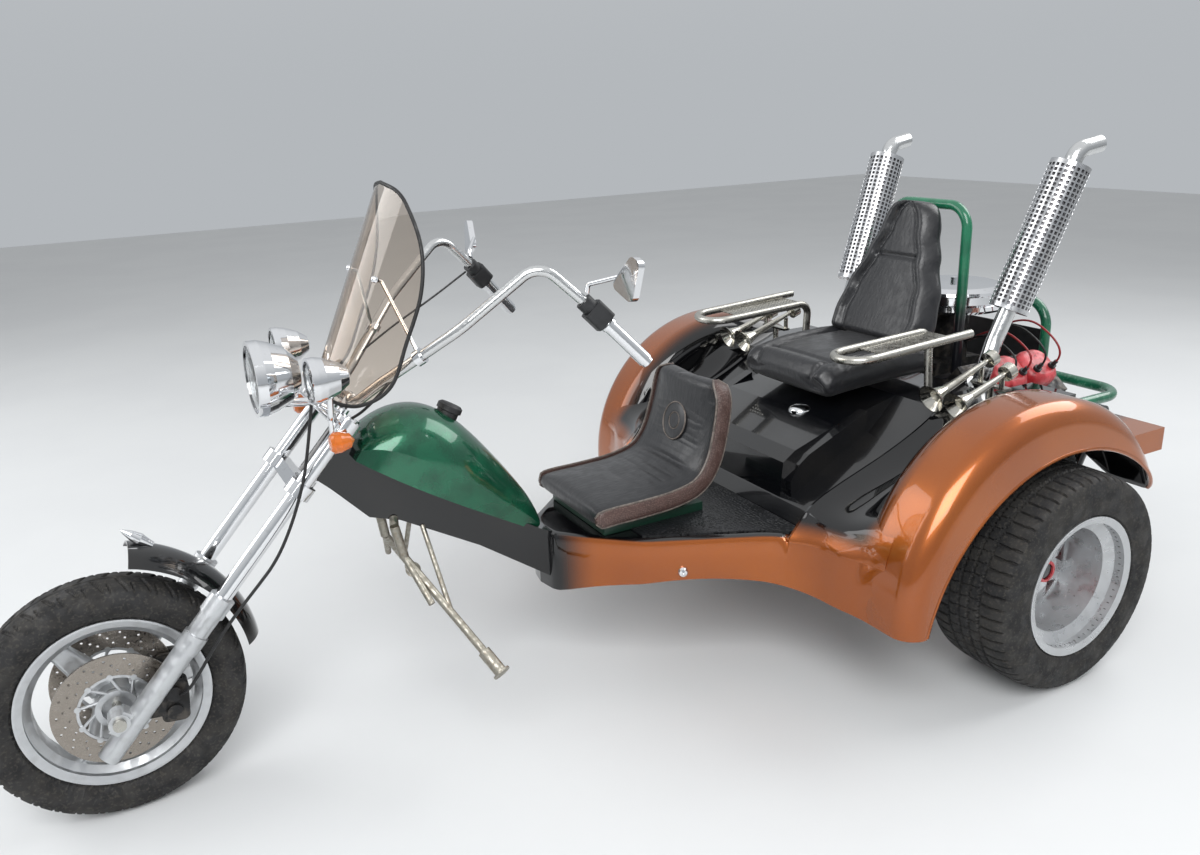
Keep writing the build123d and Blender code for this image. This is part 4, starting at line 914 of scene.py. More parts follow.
class TRIKE_OT_stacks(bpy.types.Operator):
    """Makes the perforated sleeves round the exhaust stacks from one holed cell, and the silencers inside"""

    bl_idname = "trike.stacks"
    bl_label = "Perforated Stacks"

    def execute(self, context):
        sizes = context.scene.trike_sizes
        low, high = at(*SLEEVE_LOW), at(*SLEEVE_HIGH)
        length = (high - low).length
        stand = standing(low, high)
        rows = round((length - 2 * SLEEVE_BAND) / sizes.hole_pitch)
        pitch = (length - 2 * SLEEVE_BAND) / rows
        cell = sleeve_cell(360 / SLEEVE_COLUMNS, pitch, sizes.hole_size / 2)
        sheet = grown(ring_tree, cell, SLEEVE_COLUMNS, rows, pitch, finish_of("sleeve"))
        sheet.transform(Matrix.Translation((0, 0, SLEEVE_BAND + pitch / 2)))
        inside = SLEEVE_R - SLEEVE_SHEET
        bands = [lathed([(SLEEVE_R, start), (SLEEVE_R, end), (inside, end), (inside, start)], 48)
                 for start, end in ((0.0, SLEEVE_BAND), (length - SLEEVE_BAND, length))]
        for height, bore in zip((0.001, length - 0.001), PIPE_BORES):
            rim = SLEEVE_R - 0.001
            bands.append(lathed([(bore, height - 0.001), (rim, height - 0.001), (rim, height + 0.001),
                                 (bore, height + 0.001)], 48))
        piece = self.pair("stack_sleeve_sheets", joined([sheet, *bands]), stand, "sleeve")
        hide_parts("stack_sleeves")
        ends = 0.004, length - 0.004
        silencer = lathed([(PIPE_BORES[0], ends[0]), (SILENCER_R, ends[0]), (SILENCER_R, ends[1]),
                           (PIPE_BORES[0], ends[1])], 32)
        self.pair("stack_cores", silencer, stand, "hazed")
        return {"FINISHED"}

    def pair(self, name, mesh, stand, finish):
        """The same form stood on both sides."""
        mesh.transform(stand)
        both = joined([mirrored(mesh), mesh])
        return new_piece(name, both, finish_of(finish), "chassis", 40)


# Seats
def stations(points, step):
    """Evenly spaced points along a smooth line through the given ones, with the direction at each."""
    run = smooth_run([Vector((x, 0, z)) for x, z in points], 12)
    lengths = [0.0]
    for a, b in zip(run, run[1:]):
        lengths.append(lengths[-1] + (b - a).length)
    count = max(2, round(lengths[-1] / step))
    result = []
    k = 0
    for i in range(count + 1):
        target = lengths[-1] * i / count
        while k < len(run) - 2 and lengths[k + 1] < target:
            k += 1
        share = (target - lengths[k]) / max(1e-9, lengths[k + 1] - lengths[k])
        result.append((run[k].lerp(run[k + 1], share), (run[k + 1] - run[k]).normalized(), i / count))
    return result


PIPING_R = 0.0032
# How a pad's points crowd towards its sides, and how square its edge is
CROWDING, EDGE_POWER = 1.6, 8


def pad_rings(line, width_at, depth_at, face_at, step=0.008, around=26):
    """Rings of points across a pad along its line; face_at says how far its front stands out."""
    rings = []
    for here, ahead, share in stations(line, step):
        out = Vector((ahead.z, 0, -ahead.x))
        half, depth = width_at(share), depth_at(share)
        front, back = [], []
        for k in range(around + 1):
            s = -1 + 2 * k / around
            side = math.copysign(1 - (1 - abs(s)) ** CROWDING, s)
            edge = (1 - abs(side) ** EDGE_POWER) ** 0.5
            middle = here + Vector((0, side * half, 0))
            front.append(middle + out * (depth / 2 * edge + face_at(side, share) * edge))
            back.append(middle - out * depth / 2 * edge)
        rings.append([*front, *back[-2:0:-1]])
    return rings


def end_curve(share, length, start=0.0):
    """From start at the very end of a pad to 1 further in, as a quarter round."""
    t = min(1.0, share / length)
    return start + (1 - start) * math.sqrt(1 - (1 - t) ** 2)


CLOTH_PRESSURE = 4.0
CLOTH_FRAMES = 20


def swollen(mesh, held, cap, voxel):
    """An evenly remeshed pad, swollen by cloth pressure and smoothed."""
    pad = applied(mesh, "REMESH", mode="VOXEL", voxel_size=voxel)
    return applied(pressed(pad, held, cap), "SUBSURF", levels=1, render_levels=1)


def pressed(mesh, held, cap):
    """Cloth pressure on a pad; held says how firmly a point is sewn down, and none moves further than cap."""
    start = [v.co.copy() for v in mesh.vertices]
    pad = bpy.data.objects.new("pad", mesh)
    bpy.context.scene.collection.objects.link(pad)
    sewn = pad.vertex_groups.new(name="sewn")
    for index, place in enumerate(start):
        sewn.add([index], held(place), "REPLACE")
    cloth = pad.modifiers.new("swell", "CLOTH").settings
    cloth.use_pressure = True
    cloth.uniform_pressure_force = CLOTH_PRESSURE
    cloth.effector_weights.gravity = 0
    cloth.vertex_group_mass = "sewn"
    cloth.quality = 5
    for frame_number in range(1, CLOTH_FRAMES + 1):
        bpy.context.scene.frame_set(frame_number)
    puffed = baked(pad)
    for vertex, home in zip(puffed.vertices, start):
        move = vertex.co - home
        if move.length > cap:
            vertex.co = home + move.normalized() * cap
    bpy.context.scene.frame_set(1)
    return puffed


def cushion(name, mesh, held, node, cap, voxel=0.006):
    """A sewn pad in place of plain solids."""
    pad = swollen(mesh, held, cap, voxel)
    piece = new_piece(name, pad, finish_of("vinyl"), "chassis", 60)
    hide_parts(*node)


# Middle line of the rider's seat from its front lip over the fold to its top
RIDER_LINE = [(x / 1000 + AXLE_X, z / 1000) for x, z in (
    (1140, 531), (1090, 536), (990, 537), (880, 543), (794, 566), (742, 622), (712, 705), (694, 790),
    (688, 856))]
RIDER_HALF = 0.196
RIDER_TOP_HALF = 0.174
RIDER_DEPTH = 0.060
# The fold between pan and back, and the round panel's place, as shares of the line
FOLD_AT, FOLD_WIDTH = 0.56, 0.05
PANEL_AT = 0.76


def rider_width(share):
    """Half width of the rider's seat: drawn in a little up the back, with round top corners."""
    half = RIDER_HALF + (RIDER_TOP_HALF - RIDER_HALF) * max(0.0, (share - 0.5) / 0.5)
    return half * (1 - 0.28 * (1 - end_curve(1 - share, 0.11)) - 0.05 * (1 - end_curve(share, 0.05)))


def rider_depth(share):
    """Thickness of the rider's seat, thin at both ends."""
    return RIDER_DEPTH * end_curve(share, 0.035, 0.35) * end_curve(1 - share, 0.03, 0.3)


class TRIKE_OT_rider_seat(bpy.types.Operator):
    """Makes the rider's scooped seat with its brown side bands and their piping"""

    bl_idname = "trike.rider_seat"
    bl_label = "Rider seat"

    def execute(self, context):
        def face(side, share):
            fold = math.exp(-((share - FOLD_AT) / FOLD_WIDTH) ** 2)
            hollow = 0.006 * (1 - side ** 2) * (1 - fold)
            return -0.004 * fold * (1 - side ** 4) + hollow * (0.4 if share < 0.5 else 1.0)

        rings = pad_rings(RIDER_LINE, rider_width, rider_depth, face)

        def held(place):
            edge = abs(place.y) / RIDER_HALF
            return 1.0 if edge > 0.9 else max(0.0, (edge - 0.78) / 0.12) * 0.6

        cushion("rider_seat_cushion", section_mesh(rings), held, ("rider_seat_pan", "rider_seat_back"), 0.008)
        self.bands()
        return {"FINISHED"}

    def bands(self):
        """The brown band round each side, between two lines of piping."""
        strips, cords = [], []
        for side in (1, -1):
            inner, outer = [], []
            for here, ahead, share in stations(RIDER_LINE, 0.012):
                reach = Vector((ahead.z, 0, -ahead.x)) * rider_depth(share) * 0.43
                middle = here + Vector((0, side * (rider_width(share) - 0.003), 0))
                outer.append(middle + reach)
                inner.append(middle - reach)
            cords += [tube_mesh(outer, PIPING_R, 8), tube_mesh(inner, PIPING_R, 8)]
            strips.append(section_mesh([self.band_row(low, high, side) for low, high in zip(inner, outer)]))
        new_piece("rider_seat_bands", joined(strips), finish_of("band"), "chassis")
        new_piece("rider_seat_piping", joined(cords), finish_of("piping"), "chassis")

    def band_row(self, low, high, side):
        """A ring of the band between its two lines: bulged outside, flat inside."""
        row = []
        for k in range(7):
            t = k / 6
            bulge = 0.007 * math.sqrt(max(0.0, 1 - (2 * t - 1) ** 2)) + 0.001
            row.append(low.lerp(high, t) + Vector((0, side * bulge, 0)))
        return row + [low.lerp(high, t) - Vector((0, side * 0.006, 0)) for t in (1.0, 0.5, 0.0)]


# Passenger seat: middle lines of its pan and back
PAN_LINE = [(x / 1000 + AXLE_X, z / 1000) for x, z in (
    (330, 776), (300, 788), (180, 800), (40, 806), (-90, 808))]
BACK_LINE = [(x / 1000 + AXLE_X, z / 1000) for x, z in (
    (-74, 850), (-108, 930), (-146, 1030), (-180, 1130), (-206, 1220), (-222, 1300))]


def pan_width(share):
    """Half width of the pan: a little wider behind, drawn in at its front corners."""
    wider = 0.010 * math.sin(min(1.0, share / 0.5) * math.pi / 2)
    return 0.214 + wider - 0.020 * (1 - end_curve(share, 0.08))


def pan_depth(share):
    """Thickness of the pan, thin at its front."""
    return 0.086 * end_curve(share, 0.09, 0.35)


# Half widths of the back at shares of its line
BACK_HALVES = [(0.0, 0.205), (0.15, 0.213), (0.35, 0.196), (0.6, 0.152), (0.8, 0.118), (1.0, 0.092)]


def back_width(share):
    """Half width of the back: broad at the hips, waisted to a narrow round top."""
    for (a, w), (b, v) in zip(BACK_HALVES, BACK_HALVES[1:]):
        if share <= b:
            t = (share - a) / (b - a)
            width = w + (v - w) * eased(t)
            return width * (1 - 0.45 * (1 - end_curve(1 - share, 0.09)))
    return BACK_HALVES[-1][1]


def back_depth(share):
    """Thickness of the back: less towards its top, thin at both ends."""
    return (0.084 - 0.034 * share) * end_curve(1 - share, 0.05, 0.3) * end_curve(share, 0.04, 0.5)


def groove(distance, width, depth):
    """A sewn channel: how far the face is drawn in at a distance from a seam."""
    return -depth * math.exp(-(distance / width) ** 2)


class TRIKE_OT_passenger_seat(bpy.types.Operator):
    """Makes the passenger's seat with its thick side rolls and sewn channels"""

    bl_idname = "trike.passenger_seat"
    bl_label = "Passenger seat"

    def execute(self, context):
        # In both faces, edge is the distance in from the pad's side
        def pan_face(side, share):
            edge = (1 - abs(side)) * pan_width(share)
            roll = 0.024 * math.exp(-((edge - 0.036) / 0.026) ** 2)
            front = 0.016 * math.exp(-((share - 0.09) / 0.06) ** 2)
            seam = groove(edge - 0.072, 0.007, 0.012)
            cross = groove((share - 0.20) * 0.46, 0.007, 0.010) * (edge > 0.072)
            return max(roll, front) + seam + cross + 0.010 * (1 - side ** 2) * min(1.0, share / 0.3)

        def back_face(side, share):
            edge = (1 - abs(side)) * back_width(share)
            roll = (0.034 - 0.014 * share) * math.exp(-((edge - 0.034) / 0.026) ** 2)
            seam = groove(edge - 0.064, 0.007, 0.012)
            cross = groove((share - 0.60) * 0.47, 0.006, 0.011) * (edge > 0.064)
            return roll + seam + cross + 0.012 * (1 - side ** 2)

        def held_pan(place):
            return 1.0 if place.z < 0.772 else 0.0

        def held_back(place):
            return 0.15 if place.z > 0.86 else 0.8

        pan = pad_rings(PAN_LINE, pan_width, pan_depth, pan_face, 0.006, 44)
        back = pad_rings(BACK_LINE, back_width, back_depth, back_face, 0.006, 44)
        for name, rings, held, node in (
                ("passenger_pan_cushion", pan, held_pan, ("passenger_seat_pan",)),
                ("passenger_back_cushion", back, held_back, ("passenger_seat_back",))):
            cushion(name, section_mesh(rings), held, node, 0.006, 0.005)
        return {"FINISHED"}


# Body: the lines that the moulded shell follows, in metres from the rear axle
DECK_Z = 0.470
SKIN = 0.006
SKIRT_EDGE = [(1.238, 0.0), (1.226, 0.070), (1.030, 0.258), (0.640, 0.452), (0.602, FENDER_IN_Y + 0.132)]
SKIRT_BENDS = [0.050, 0.260, 0.210]
SKIRT_FOOT = 0.292
# The skirt's rounded upper edge: its radius, its middle point in and up, and how far in its rim reaches
EDGE_R = 0.014
EDGE_IN, EDGE_UP = 0.0041, 0.0099
RIM_IN = 0.024
# Arcs, each as its centre's x and z and its radius: the skirt's lower edge, the fender, the wheel opening
ARCH_X, ARCH_Z, ARCH_R = 0.905, -0.554, 0.898
DRUM_X, DRUM_Z, DRUM_R = 0.080, 0.330, 0.520
OPENING_X, OPENING_Z, OPENING_R = 0.014, 0.177, 0.530
DRUM_WIDTH = 0.242
INNER_ROLL, OUTER_ROLL = 0.090, 0.064
LIP_R = 0.006
# Top of the shoulder at the ridge beside the pedestal, in its hollow, and where it meets the fender
RIDGE_Y = 0.4503
RIDGE = [(0.640, 0.456), (0.639, 0.485), (0.626, 0.522), (0.590, 0.555), (0.508, 0.590), (0.330, 0.650),
         (0.203, 0.703), (0.100, 0.760)]
HOLLOW_Y = FENDER_IN_Y - 0.040
HOLLOW = [(0.606, 0.456), (0.604, 0.480), (0.592, 0.508), (0.558, 0.535), (0.462, 0.566), (0.325, 0.612),
          (0.200, 0.676), (0.100, 0.760)]
MEETING = [(0.583, 0.132, 0.456), (0.579, 0.131, 0.482), (0.556, 0.128, 0.540), (0.520, 0.112, 0.596),
           (0.470, 0.078, 0.632), (0.345, 0.016, 0.652), (0.215, 0.003, 0.708), (0.100, 0.003, 0.760)]
SWEEP_COLUMNS = 30
# Over how many rows the shoulder's front edge leaves the skirt's line
SWEEP_FADE = 13


def rounded_line(points, bends, step=0.012):
    """Points along straight runs joined by arcs."""
    points = [Vector(p) for p in points]
    run = [points[0]]
    for before, corner, after, bend in zip(points, points[1:], points[2:], bends):
        back, on = (before - corner).normalized(), (after - corner).normalized()
        half = back.angle(on) / 2
        start, end = corner + back * bend / math.tan(half), corner + on * bend / math.tan(half)
        centre = corner + (back + on).normalized() * bend / math.sin(half)
        sweep = math.pi - 2 * half
        count = max(3, round(bend * sweep / step))
        middle = (corner - centre).normalized()
        across = ((end - start) - middle * (end - start).dot(middle)).normalized()
        run.append(start)
        for k in range(1, count):
            turn = sweep * (k / count - 0.5)
            run.append(centre + (middle * math.cos(turn) + across * math.sin(turn)) * bend)
        run.append(end)
    run.append(points[-1])
    full = [run[0]]
    for here, there in zip(run, run[1:]):
        count = max(1, round((there - here).length / (2.5 * step)))
        full += [here.lerp(there, k / count) for k in range(1, count + 1)]
    return full


def drum_front(z):
    """How far ahead of the axle the fender's crown reaches at a height."""
    return DRUM_X + math.sqrt(DRUM_R ** 2 - (z - DRUM_Z) ** 2)


def merged(x, y, z):
    """The skirt's own place, drawn onto the fender's crown towards its outer end."""
    return x + (drum_front(z) - 0.0005 - x) * eased((y - FENDER_IN_Y + 0.02) / 0.152)


def filled(near, far):
    """A solid between two like outlines of points."""
    n = len(near)
    faces = [tuple(range(n)), tuple(range(n, 2 * n))]
    faces += [(i, (i + 1) % n, n + (i + 1) % n, n + i) for i in range(n)]
    return outward(mesh_from("filled", [*near, *far], faces))


def prism(outline, low, high):
    """A flat (x, z) outline filled between two distances from the middle."""
    return filled(*([at(x, y, z) for x, z in outline] for y in (low, high)))


def plate(outline, low, high):
    """A flat (x, y) outline filled between two heights."""
    return filled(*([at(x, y, z) for x, y in outline] for z in (low, high)))


def edge_normals(line):
    """Directions that point in from each point of the skirt's plan line."""
    normals = []
    for i, here in enumerate(line):
        ahead = line[min(i + 1, len(line) - 1)] - line[max(i - 1, 0)]
        normals.append(Vector((-ahead.y, ahead.x)).normalized())
    return normals


class TRIKE_OT_body(bpy.types.Operator):
    """Makes the moulded body: skirt and deck, the hollow shoulders that sweep out, and the rolled fenders"""

    bl_idname = "trike.body"
    bl_label = "Body"

    def execute(self, context):
        paint = finish_of("copper")
        line = rounded_line(SKIRT_EDGE, SKIRT_BENDS)
        for name, half, node in (("body_skirt", self.skirt(line), "body_tub"),
                                 ("body_sweeps", self.sweep(line), "body_shoulders"),
                                 ("fender_shells", self.fender(), "rear_fenders")):
            piece = new_piece(name, joined([mirrored(half), half]), paint, "chassis", 38)
            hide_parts(node)
        return {"FINISHED"}

    def skirt(self, line):
        """Left half of the skirt with its rounded upper edge, and the deck inside it."""
        normals = edge_normals(line)
        bend = DECK_Z - EDGE_R
        rings = []
        for place, inward in zip(line, normals):
            low = max(SKIRT_FOOT, ARCH_Z + math.sqrt(ARCH_R ** 2 - (place.x - ARCH_X) ** 2))
            # Beyond the ridge the shoulder lies over the skirt, so its edge rises less there
            rise = 0.15 if place.y > RIDGE_Y - 0.004 else 1.0
            top = bend + EDGE_R * rise
            ring = []
            for inset, z in ((0, low), (0, (low + DECK_Z) / 2), (0, bend), (EDGE_IN, bend + EDGE_UP * rise),
                             (EDGE_R, top), (RIM_IN, top), (RIM_IN, top - SKIN), (SKIN, DECK_Z - 0.022),
                             (SKIN, low)):
                spot = place + inward * inset
                y = max(0.0, spot.y)
                ring.append(at(merged(spot.x, y, z), y, z))
            rings.append(ring)
        inner = [p + n * (RIM_IN - 0.002) for p, n in zip(line, normals)]
        outline = [(p.x, max(0.0, p.y)) for p in inner if p.y < 0.60]
        outline += [(0.56, 0.60), (-0.15, 0.60), (-0.15, 0.0)]
        return joined([section_mesh(rings), plate(outline, DECK_Z - SKIN, DECK_Z - 0.0002)])

    def sweep(self, line):
        """The left shoulder: a thin skin from the ridge over the hollow to the fender."""
        edge = [p for p in line if p.y > 0.30]

        def front(y):
            for a, b in zip(edge, edge[1:]):
                if a.y <= y <= b.y:
                    return a.x + (b.x - a.x) * (y - a.y) / (b.y - a.y)
            return edge[-1].x

        ridge = smooth_run([Vector((x, RIDGE_Y, z)) for x, z in RIDGE], 6)
        hollow = smooth_run([Vector((x, HOLLOW_Y, z)) for x, z in HOLLOW], 6)
        meeting = smooth_run([Vector((x, FENDER_IN_Y + y, z)) for x, y, z in MEETING], 6)
        rows = []
        for u, lines in enumerate(zip(ridge, hollow, meeting)):
            row = self.through(*lines)
            if u == 0:
                shift = [Vector((merged(front(p.y), p.y, DECK_Z - EDGE_R) - p.x, 0, 0)) for p in row]
            fade = eased(1 - u / SWEEP_FADE)
            row = [p + s * fade for p, s in zip(row, shift)]
            first = row[0]
            low = min(first.z, DECK_Z - 0.004)
            lead = [(first.x, first.y, low), (first.x, first.y, max(low, first.z - EDGE_R)),
                    (first.x, first.y + EDGE_IN, max(low, first.z - EDGE_IN))]
            over = [(p.x, p.y + EDGE_R * (1 - k / SWEEP_COLUMNS), p.z) for k, p in enumerate(row)]
            rows.append([at(*p) for p in lead + over])
        top = mesh_from("sweep", [p for row in rows for p in row], grid_faces(len(rows), len(rows[0])))
        if sum(face.normal.z for face in top.polygons) < 0:
            top.flip_normals()
        rear = [(0.10, 0.760), (-0.30, 0.760), (-0.30, 0.700), (-0.15, 0.640), (0.10, 0.640)]
        return joined([applied(top, "SOLIDIFY", thickness=0.005, offset=-1.0),
                       prism(rear, RIDGE_Y, FENDER_IN_Y - 0.0003)])

    def through(self, a, b, c):
        """A row of points along the one bow through three."""
        middle = (b.y - a.y) / (c.y - a.y)
        row = []
        for k in range(SWEEP_COLUMNS + 1):
            v = k / SWEEP_COLUMNS
            row.append(a * ((v - middle) * (v - 1) / middle) + b * (v * (v - 1) / (middle * (middle - 1)))
                       + c * (v * (v - middle) / (1 - middle)))
        return row

    def fender(self):
        """The left fender: a drum with a rolled shoulder and a round outer edge, open to the wheel."""
        shell = lathed([*self.skin(0.0), *reversed(self.skin(SKIN))], 144)
        opening = lathed([(0.001, SKIN), (OPENING_R, SKIN), (OPENING_R, 0.30), (0.001, 0.30)], 144)
        axle = lathed([(0.001, -0.05), (0.15, -0.05), (0.15, 0.05), (0.001, 0.05)], 48)
        self.stand(shell, DRUM_X, DRUM_Z)
        self.stand(opening, OPENING_X, OPENING_Z)
        self.stand(axle, 0.0, REAR_TYRE_R)
        below = [(-0.7, -0.2), (0.9, -0.2), (0.9, SKIRT_FOOT), (-0.7, SKIRT_FOOT)]
        shell = cut(shell, opening, axle, prism(below, FENDER_IN_Y - 0.1, FENDER_IN_Y + 0.4))
        under = shell.attributes.new("under", "FLOAT", "FACE")
        for face in shell.polygons:
            arm = face.center - at(DRUM_X, FENDER_IN_Y + 0.14, DRUM_Z)
            under.data[face.index].value = 1.0 if face.normal.dot(arm) < -0.02 else 0.0
        return joined([shell, self.lip()])

    def skin(self, inset):
        """The drum's section as (radius, across), drawn in by an inset."""
        r, roll, edge = DRUM_R - inset, INNER_ROLL - inset, OUTER_ROLL - inset
        line = [(0.02, inset)]
        line += [(r - roll + roll * math.sin(t), inset + roll - roll * math.cos(t))
                 for t in (math.pi / 2 * k / 10 for k in range(11))]
        line += [(r - edge + edge * math.cos(t), DRUM_WIDTH - inset - edge + edge * math.sin(t))
                 for t in (math.pi / 2 * k / 8 for k in range(9))]
        return [*line, (0.02, DRUM_WIDTH - inset)]

    def lip(self):
        """The bead along the wheel opening, on the drum's outer face and round edge."""
        bead = []
        for k in range(361):
            turn = math.radians(k)
            x, z = OPENING_X + OPENING_R * math.cos(turn), OPENING_Z + OPENING_R * math.sin(turn)
            reach = math.hypot(x - DRUM_X, z - DRUM_Z)
            if reach < DRUM_R - 0.002 and z > SKIRT_FOOT + 0.004:
                over = max(0.0, reach - (DRUM_R - OUTER_ROLL))
                side = DRUM_WIDTH - OUTER_ROLL + math.sqrt(OUTER_ROLL ** 2 - over ** 2)
                bead.append(at(x, FENDER_IN_Y + side - 0.003, z))
        return tube_mesh(bead, LIP_R, 8)

    def stand(self, mesh, x, z):
        """Turns a form made round the Z axis to lie across the body from the fender's inner wall."""
        set_wheel(mesh, at(x, FENDER_IN_Y, z))


# Windscreen
SCREEN_FOOT = (1.828, 0.984)
SCREEN_LEAN = math.radians(24)
SCREEN_R = 0.236
SCREEN_OUTLINE = [(0.0, 0.006), (0.120, 0.006), (0.172, 0.030), (0.200, 0.090), (0.202, 0.200),
                  (0.200, 0.330), (0.180, 0.430), (0.140, 0.498), (0.090, 0.536), (0.0, 0.548)]
SHEET_LOW, SHEET_TOP = 0.008, 0.546
SHEET_ROWS, SHEET_COLUMNS = 49, 41
SHEET_THICK = 0.003
MOULDING_R = 0.0048
NUT_Y, NUT_UP = 0.112, 0.320
NUT_DOME = [(0.0, 0.013), (0.004, 0.0125), (0.0075, 0.010), (0.009, 0.005), (0.0095, 0.0), (0.0, 0.0)]


def on_screen(y, up, depth=0.0):
    """A point of the screen's outer face, or as deep behind it."""
    back = SCREEN_R - math.sqrt(SCREEN_R ** 2 - y ** 2) + depth
    return at(SCREEN_FOOT[0] - up * math.sin(SCREEN_LEAN) - back * math.cos(SCREEN_LEAN), y,
              SCREEN_FOOT[1] + up * math.cos(SCREEN_LEAN) - back * math.sin(SCREEN_LEAN))


class TRIKE_OT_windscreen(bpy.types.Operator):
    """Makes the bowed windscreen, the black rubber moulding round its edge, and its dome nuts"""

    bl_idname = "trike.windscreen"
    bl_label = "Windscreen"

    def execute(self, context):
        half = smooth_run([Vector((y, up, 0)) for y, up in SCREEN_OUTLINE], 8)
        sheet = applied(self.sheet(half), "SOLIDIFY", thickness=SHEET_THICK, offset=-1.0)
        piece = new_piece("windscreen_sheet", sheet, finish_of("screen"), "steering", 60)
        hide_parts("windscreen")
        edge = [on_screen(p.x, p.y, SHEET_THICK / 2) for p in half]
        edge += [on_screen(-p.x, p.y, SHEET_THICK / 2) for p in reversed(half[1:-1])]
        moulding = loop_mesh(edge, MOULDING_R, 10)
        new_piece("screen_moulding", moulding, finish_of("hose"), "steering", 60)
        domes = []
        for side in (-1, 1):
            dome = lathed(NUT_DOME, 20)
            here = on_screen(side * NUT_Y, NUT_UP)
            front = on_screen(side * NUT_Y, NUT_UP, -0.01)
            dome.transform(standing(here, front))
            domes.append(dome)
        new_piece("screen_nuts", joined(domes), finish_of("chrome"), "steering", 40)
        return {"FINISHED"}

    def sheet(self, half):
        """The screen's outer face: rows of points from edge to edge."""
        rows = []
        for k in range(SHEET_ROWS):
            up = SHEET_LOW + (SHEET_TOP - SHEET_LOW) * k / (SHEET_ROWS - 1)
            width = max((a.x + (b.x - a.x) * (up - a.y) / (b.y - a.y) for a, b in zip(half, half[1:])
                         if min(a.y, b.y) <= up <= max(a.y, b.y) and a.y != b.y), default=0.01)
            shares = [-1 + 2 * i / (SHEET_COLUMNS - 1) for i in range(SHEET_COLUMNS)]
            rows.append([on_screen(width * share, up) for share in shares])
        sheet = mesh_from("sheet", [p for row in rows for p in row], grid_faces(SHEET_ROWS, SHEET_COLUMNS))
        if sheet.polygons[0].normal.x < 0:
            sheet.flip_normals()
        return sheet


# Deck mat, armrests
def flat_cell(pitch, hole, thickness):
    """A square of plate with an eight-sided hole through it."""
    levels = (thickness / 2, -thickness / 2)
    outer = [[(x * pitch / 2, y * pitch / 2, z) for x, y in square_ring()] for z in levels]
    turns = [math.pi * k / 4 for k in range(8)]
    inner = [[(math.cos(turn) * hole / 2, math.sin(turn) * hole / 2, z) for turn in turns] for z in levels]
    return holed(outer, inner)


# The deck mat: how far it stays inside the skirt, its front and back edges, its sides and its thickness
MAT_INSET = 0.030
MAT_FRONT_X, MAT_BACK_X = 1.02, 0.606
MAT_IN_Y, MAT_OUT_Y = 0.03, 0.438
MAT_THICK = 0.004
# The armrest's tube, its foot plate and the perforated pad on it
ARM_PATH = [(-0.040, 0.420, 0.950), (0.412, 0.420, 0.926), (0.412, 0.284, 0.922), (-0.006, 0.286, 0.940),
            (-0.006, 0.300, 0.748)]
ARM_BENDS = [0.066, 0.066, 0.040]
ARM_R = 0.013
ARM_FOOT = [(0.001, 0.0), (0.024, 0.0), (0.024, 0.006), (0.014, 0.009), (0.001, 0.009)]
ARM_FOOT_AT = (-0.006, 0.300, 0.7456)
PAD_AT = (0.150, 0.352, 0.9335)
PAD_LEAN = math.radians(2.6)
PAD_PITCH, PAD_HOLE, PAD_SHEET = 0.0140, 0.0088, 0.003
PAD_COLUMNS, PAD_ROWS = 20, 8


class TRIKE_OT_deck_and_arms(bpy.types.Operator):
    """Makes the pebbled deck mat, and the armrest tubes with their perforated plates"""

    bl_idname = "trike.deck_and_arms"
    bl_label = "Deck Mat And Armrests"

    def execute(self, context):
        line = rounded_line(SKIRT_EDGE, SKIRT_BENDS)
        inner = [p + n * MAT_INSET for p, n in zip(line, edge_normals(line))]
        side = [(p.x, p.y) for p in inner if p.x < MAT_FRONT_X and 0.02 < p.y < MAT_OUT_Y]
        outline = [(MAT_FRONT_X, MAT_IN_Y), *side, (MAT_BACK_X + 0.006, MAT_OUT_Y), (MAT_BACK_X, MAT_IN_Y)]
        mat = plate(outline, DECK_Z + 0.0001, DECK_Z + MAT_THICK)
        new_piece("deck_mats", joined([mirrored(mat), mat]), finish_of("mat"), "chassis", 30)
        tube = tube_mesh([at(*p) for p in rounded_line(ARM_PATH, ARM_BENDS, 0.008)], ARM_R, 20)
        foot = lathed(ARM_FOOT, 28)
        foot.transform(Matrix.Translation(at(*ARM_FOOT_AT)))
        cell = flat_cell(PAD_PITCH, PAD_HOLE, PAD_SHEET)
        pad = grown(grid_tree, cell, PAD_COLUMNS, PAD_ROWS, PAD_PITCH, finish_of("steel"))
        corner = (-PAD_PITCH * (PAD_COLUMNS - 1) / 2, -PAD_PITCH * (PAD_ROWS - 1) / 2, 0)
        pad.transform(Matrix.Translation(at(*PAD_AT)) @ Matrix.Rotation(PAD_LEAN, 4, "Y")
                      @ Matrix.Translation(corner))
        half = joined([tube, foot, pad])
        both = joined([mirrored(half), half])
        piece = new_piece("armrest_tubes", both, finish_of("steel"), "chassis", 40)
        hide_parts("armrests")
        return {"FINISHED"}


# Small fittings
def run_length(curve_object):
    """The real length of a curve's own line, in metres."""
    bare = curve_object.copy()
    bare.data = curve_object.data.copy()
    bare.data.bevel_depth = 0
    bpy.context.scene.collection.objects.link(bare)
    mesh = bpy.data.meshes.new_from_object(bare.evaluated_get(bpy.context.evaluated_depsgraph_get()))
    ends = [[mesh.vertices[index].co for index in edge.vertices] for edge in mesh.edges]
    total = sum((b - a).length for a, b in ends)
    bpy.data.objects.remove(bare)
    return total


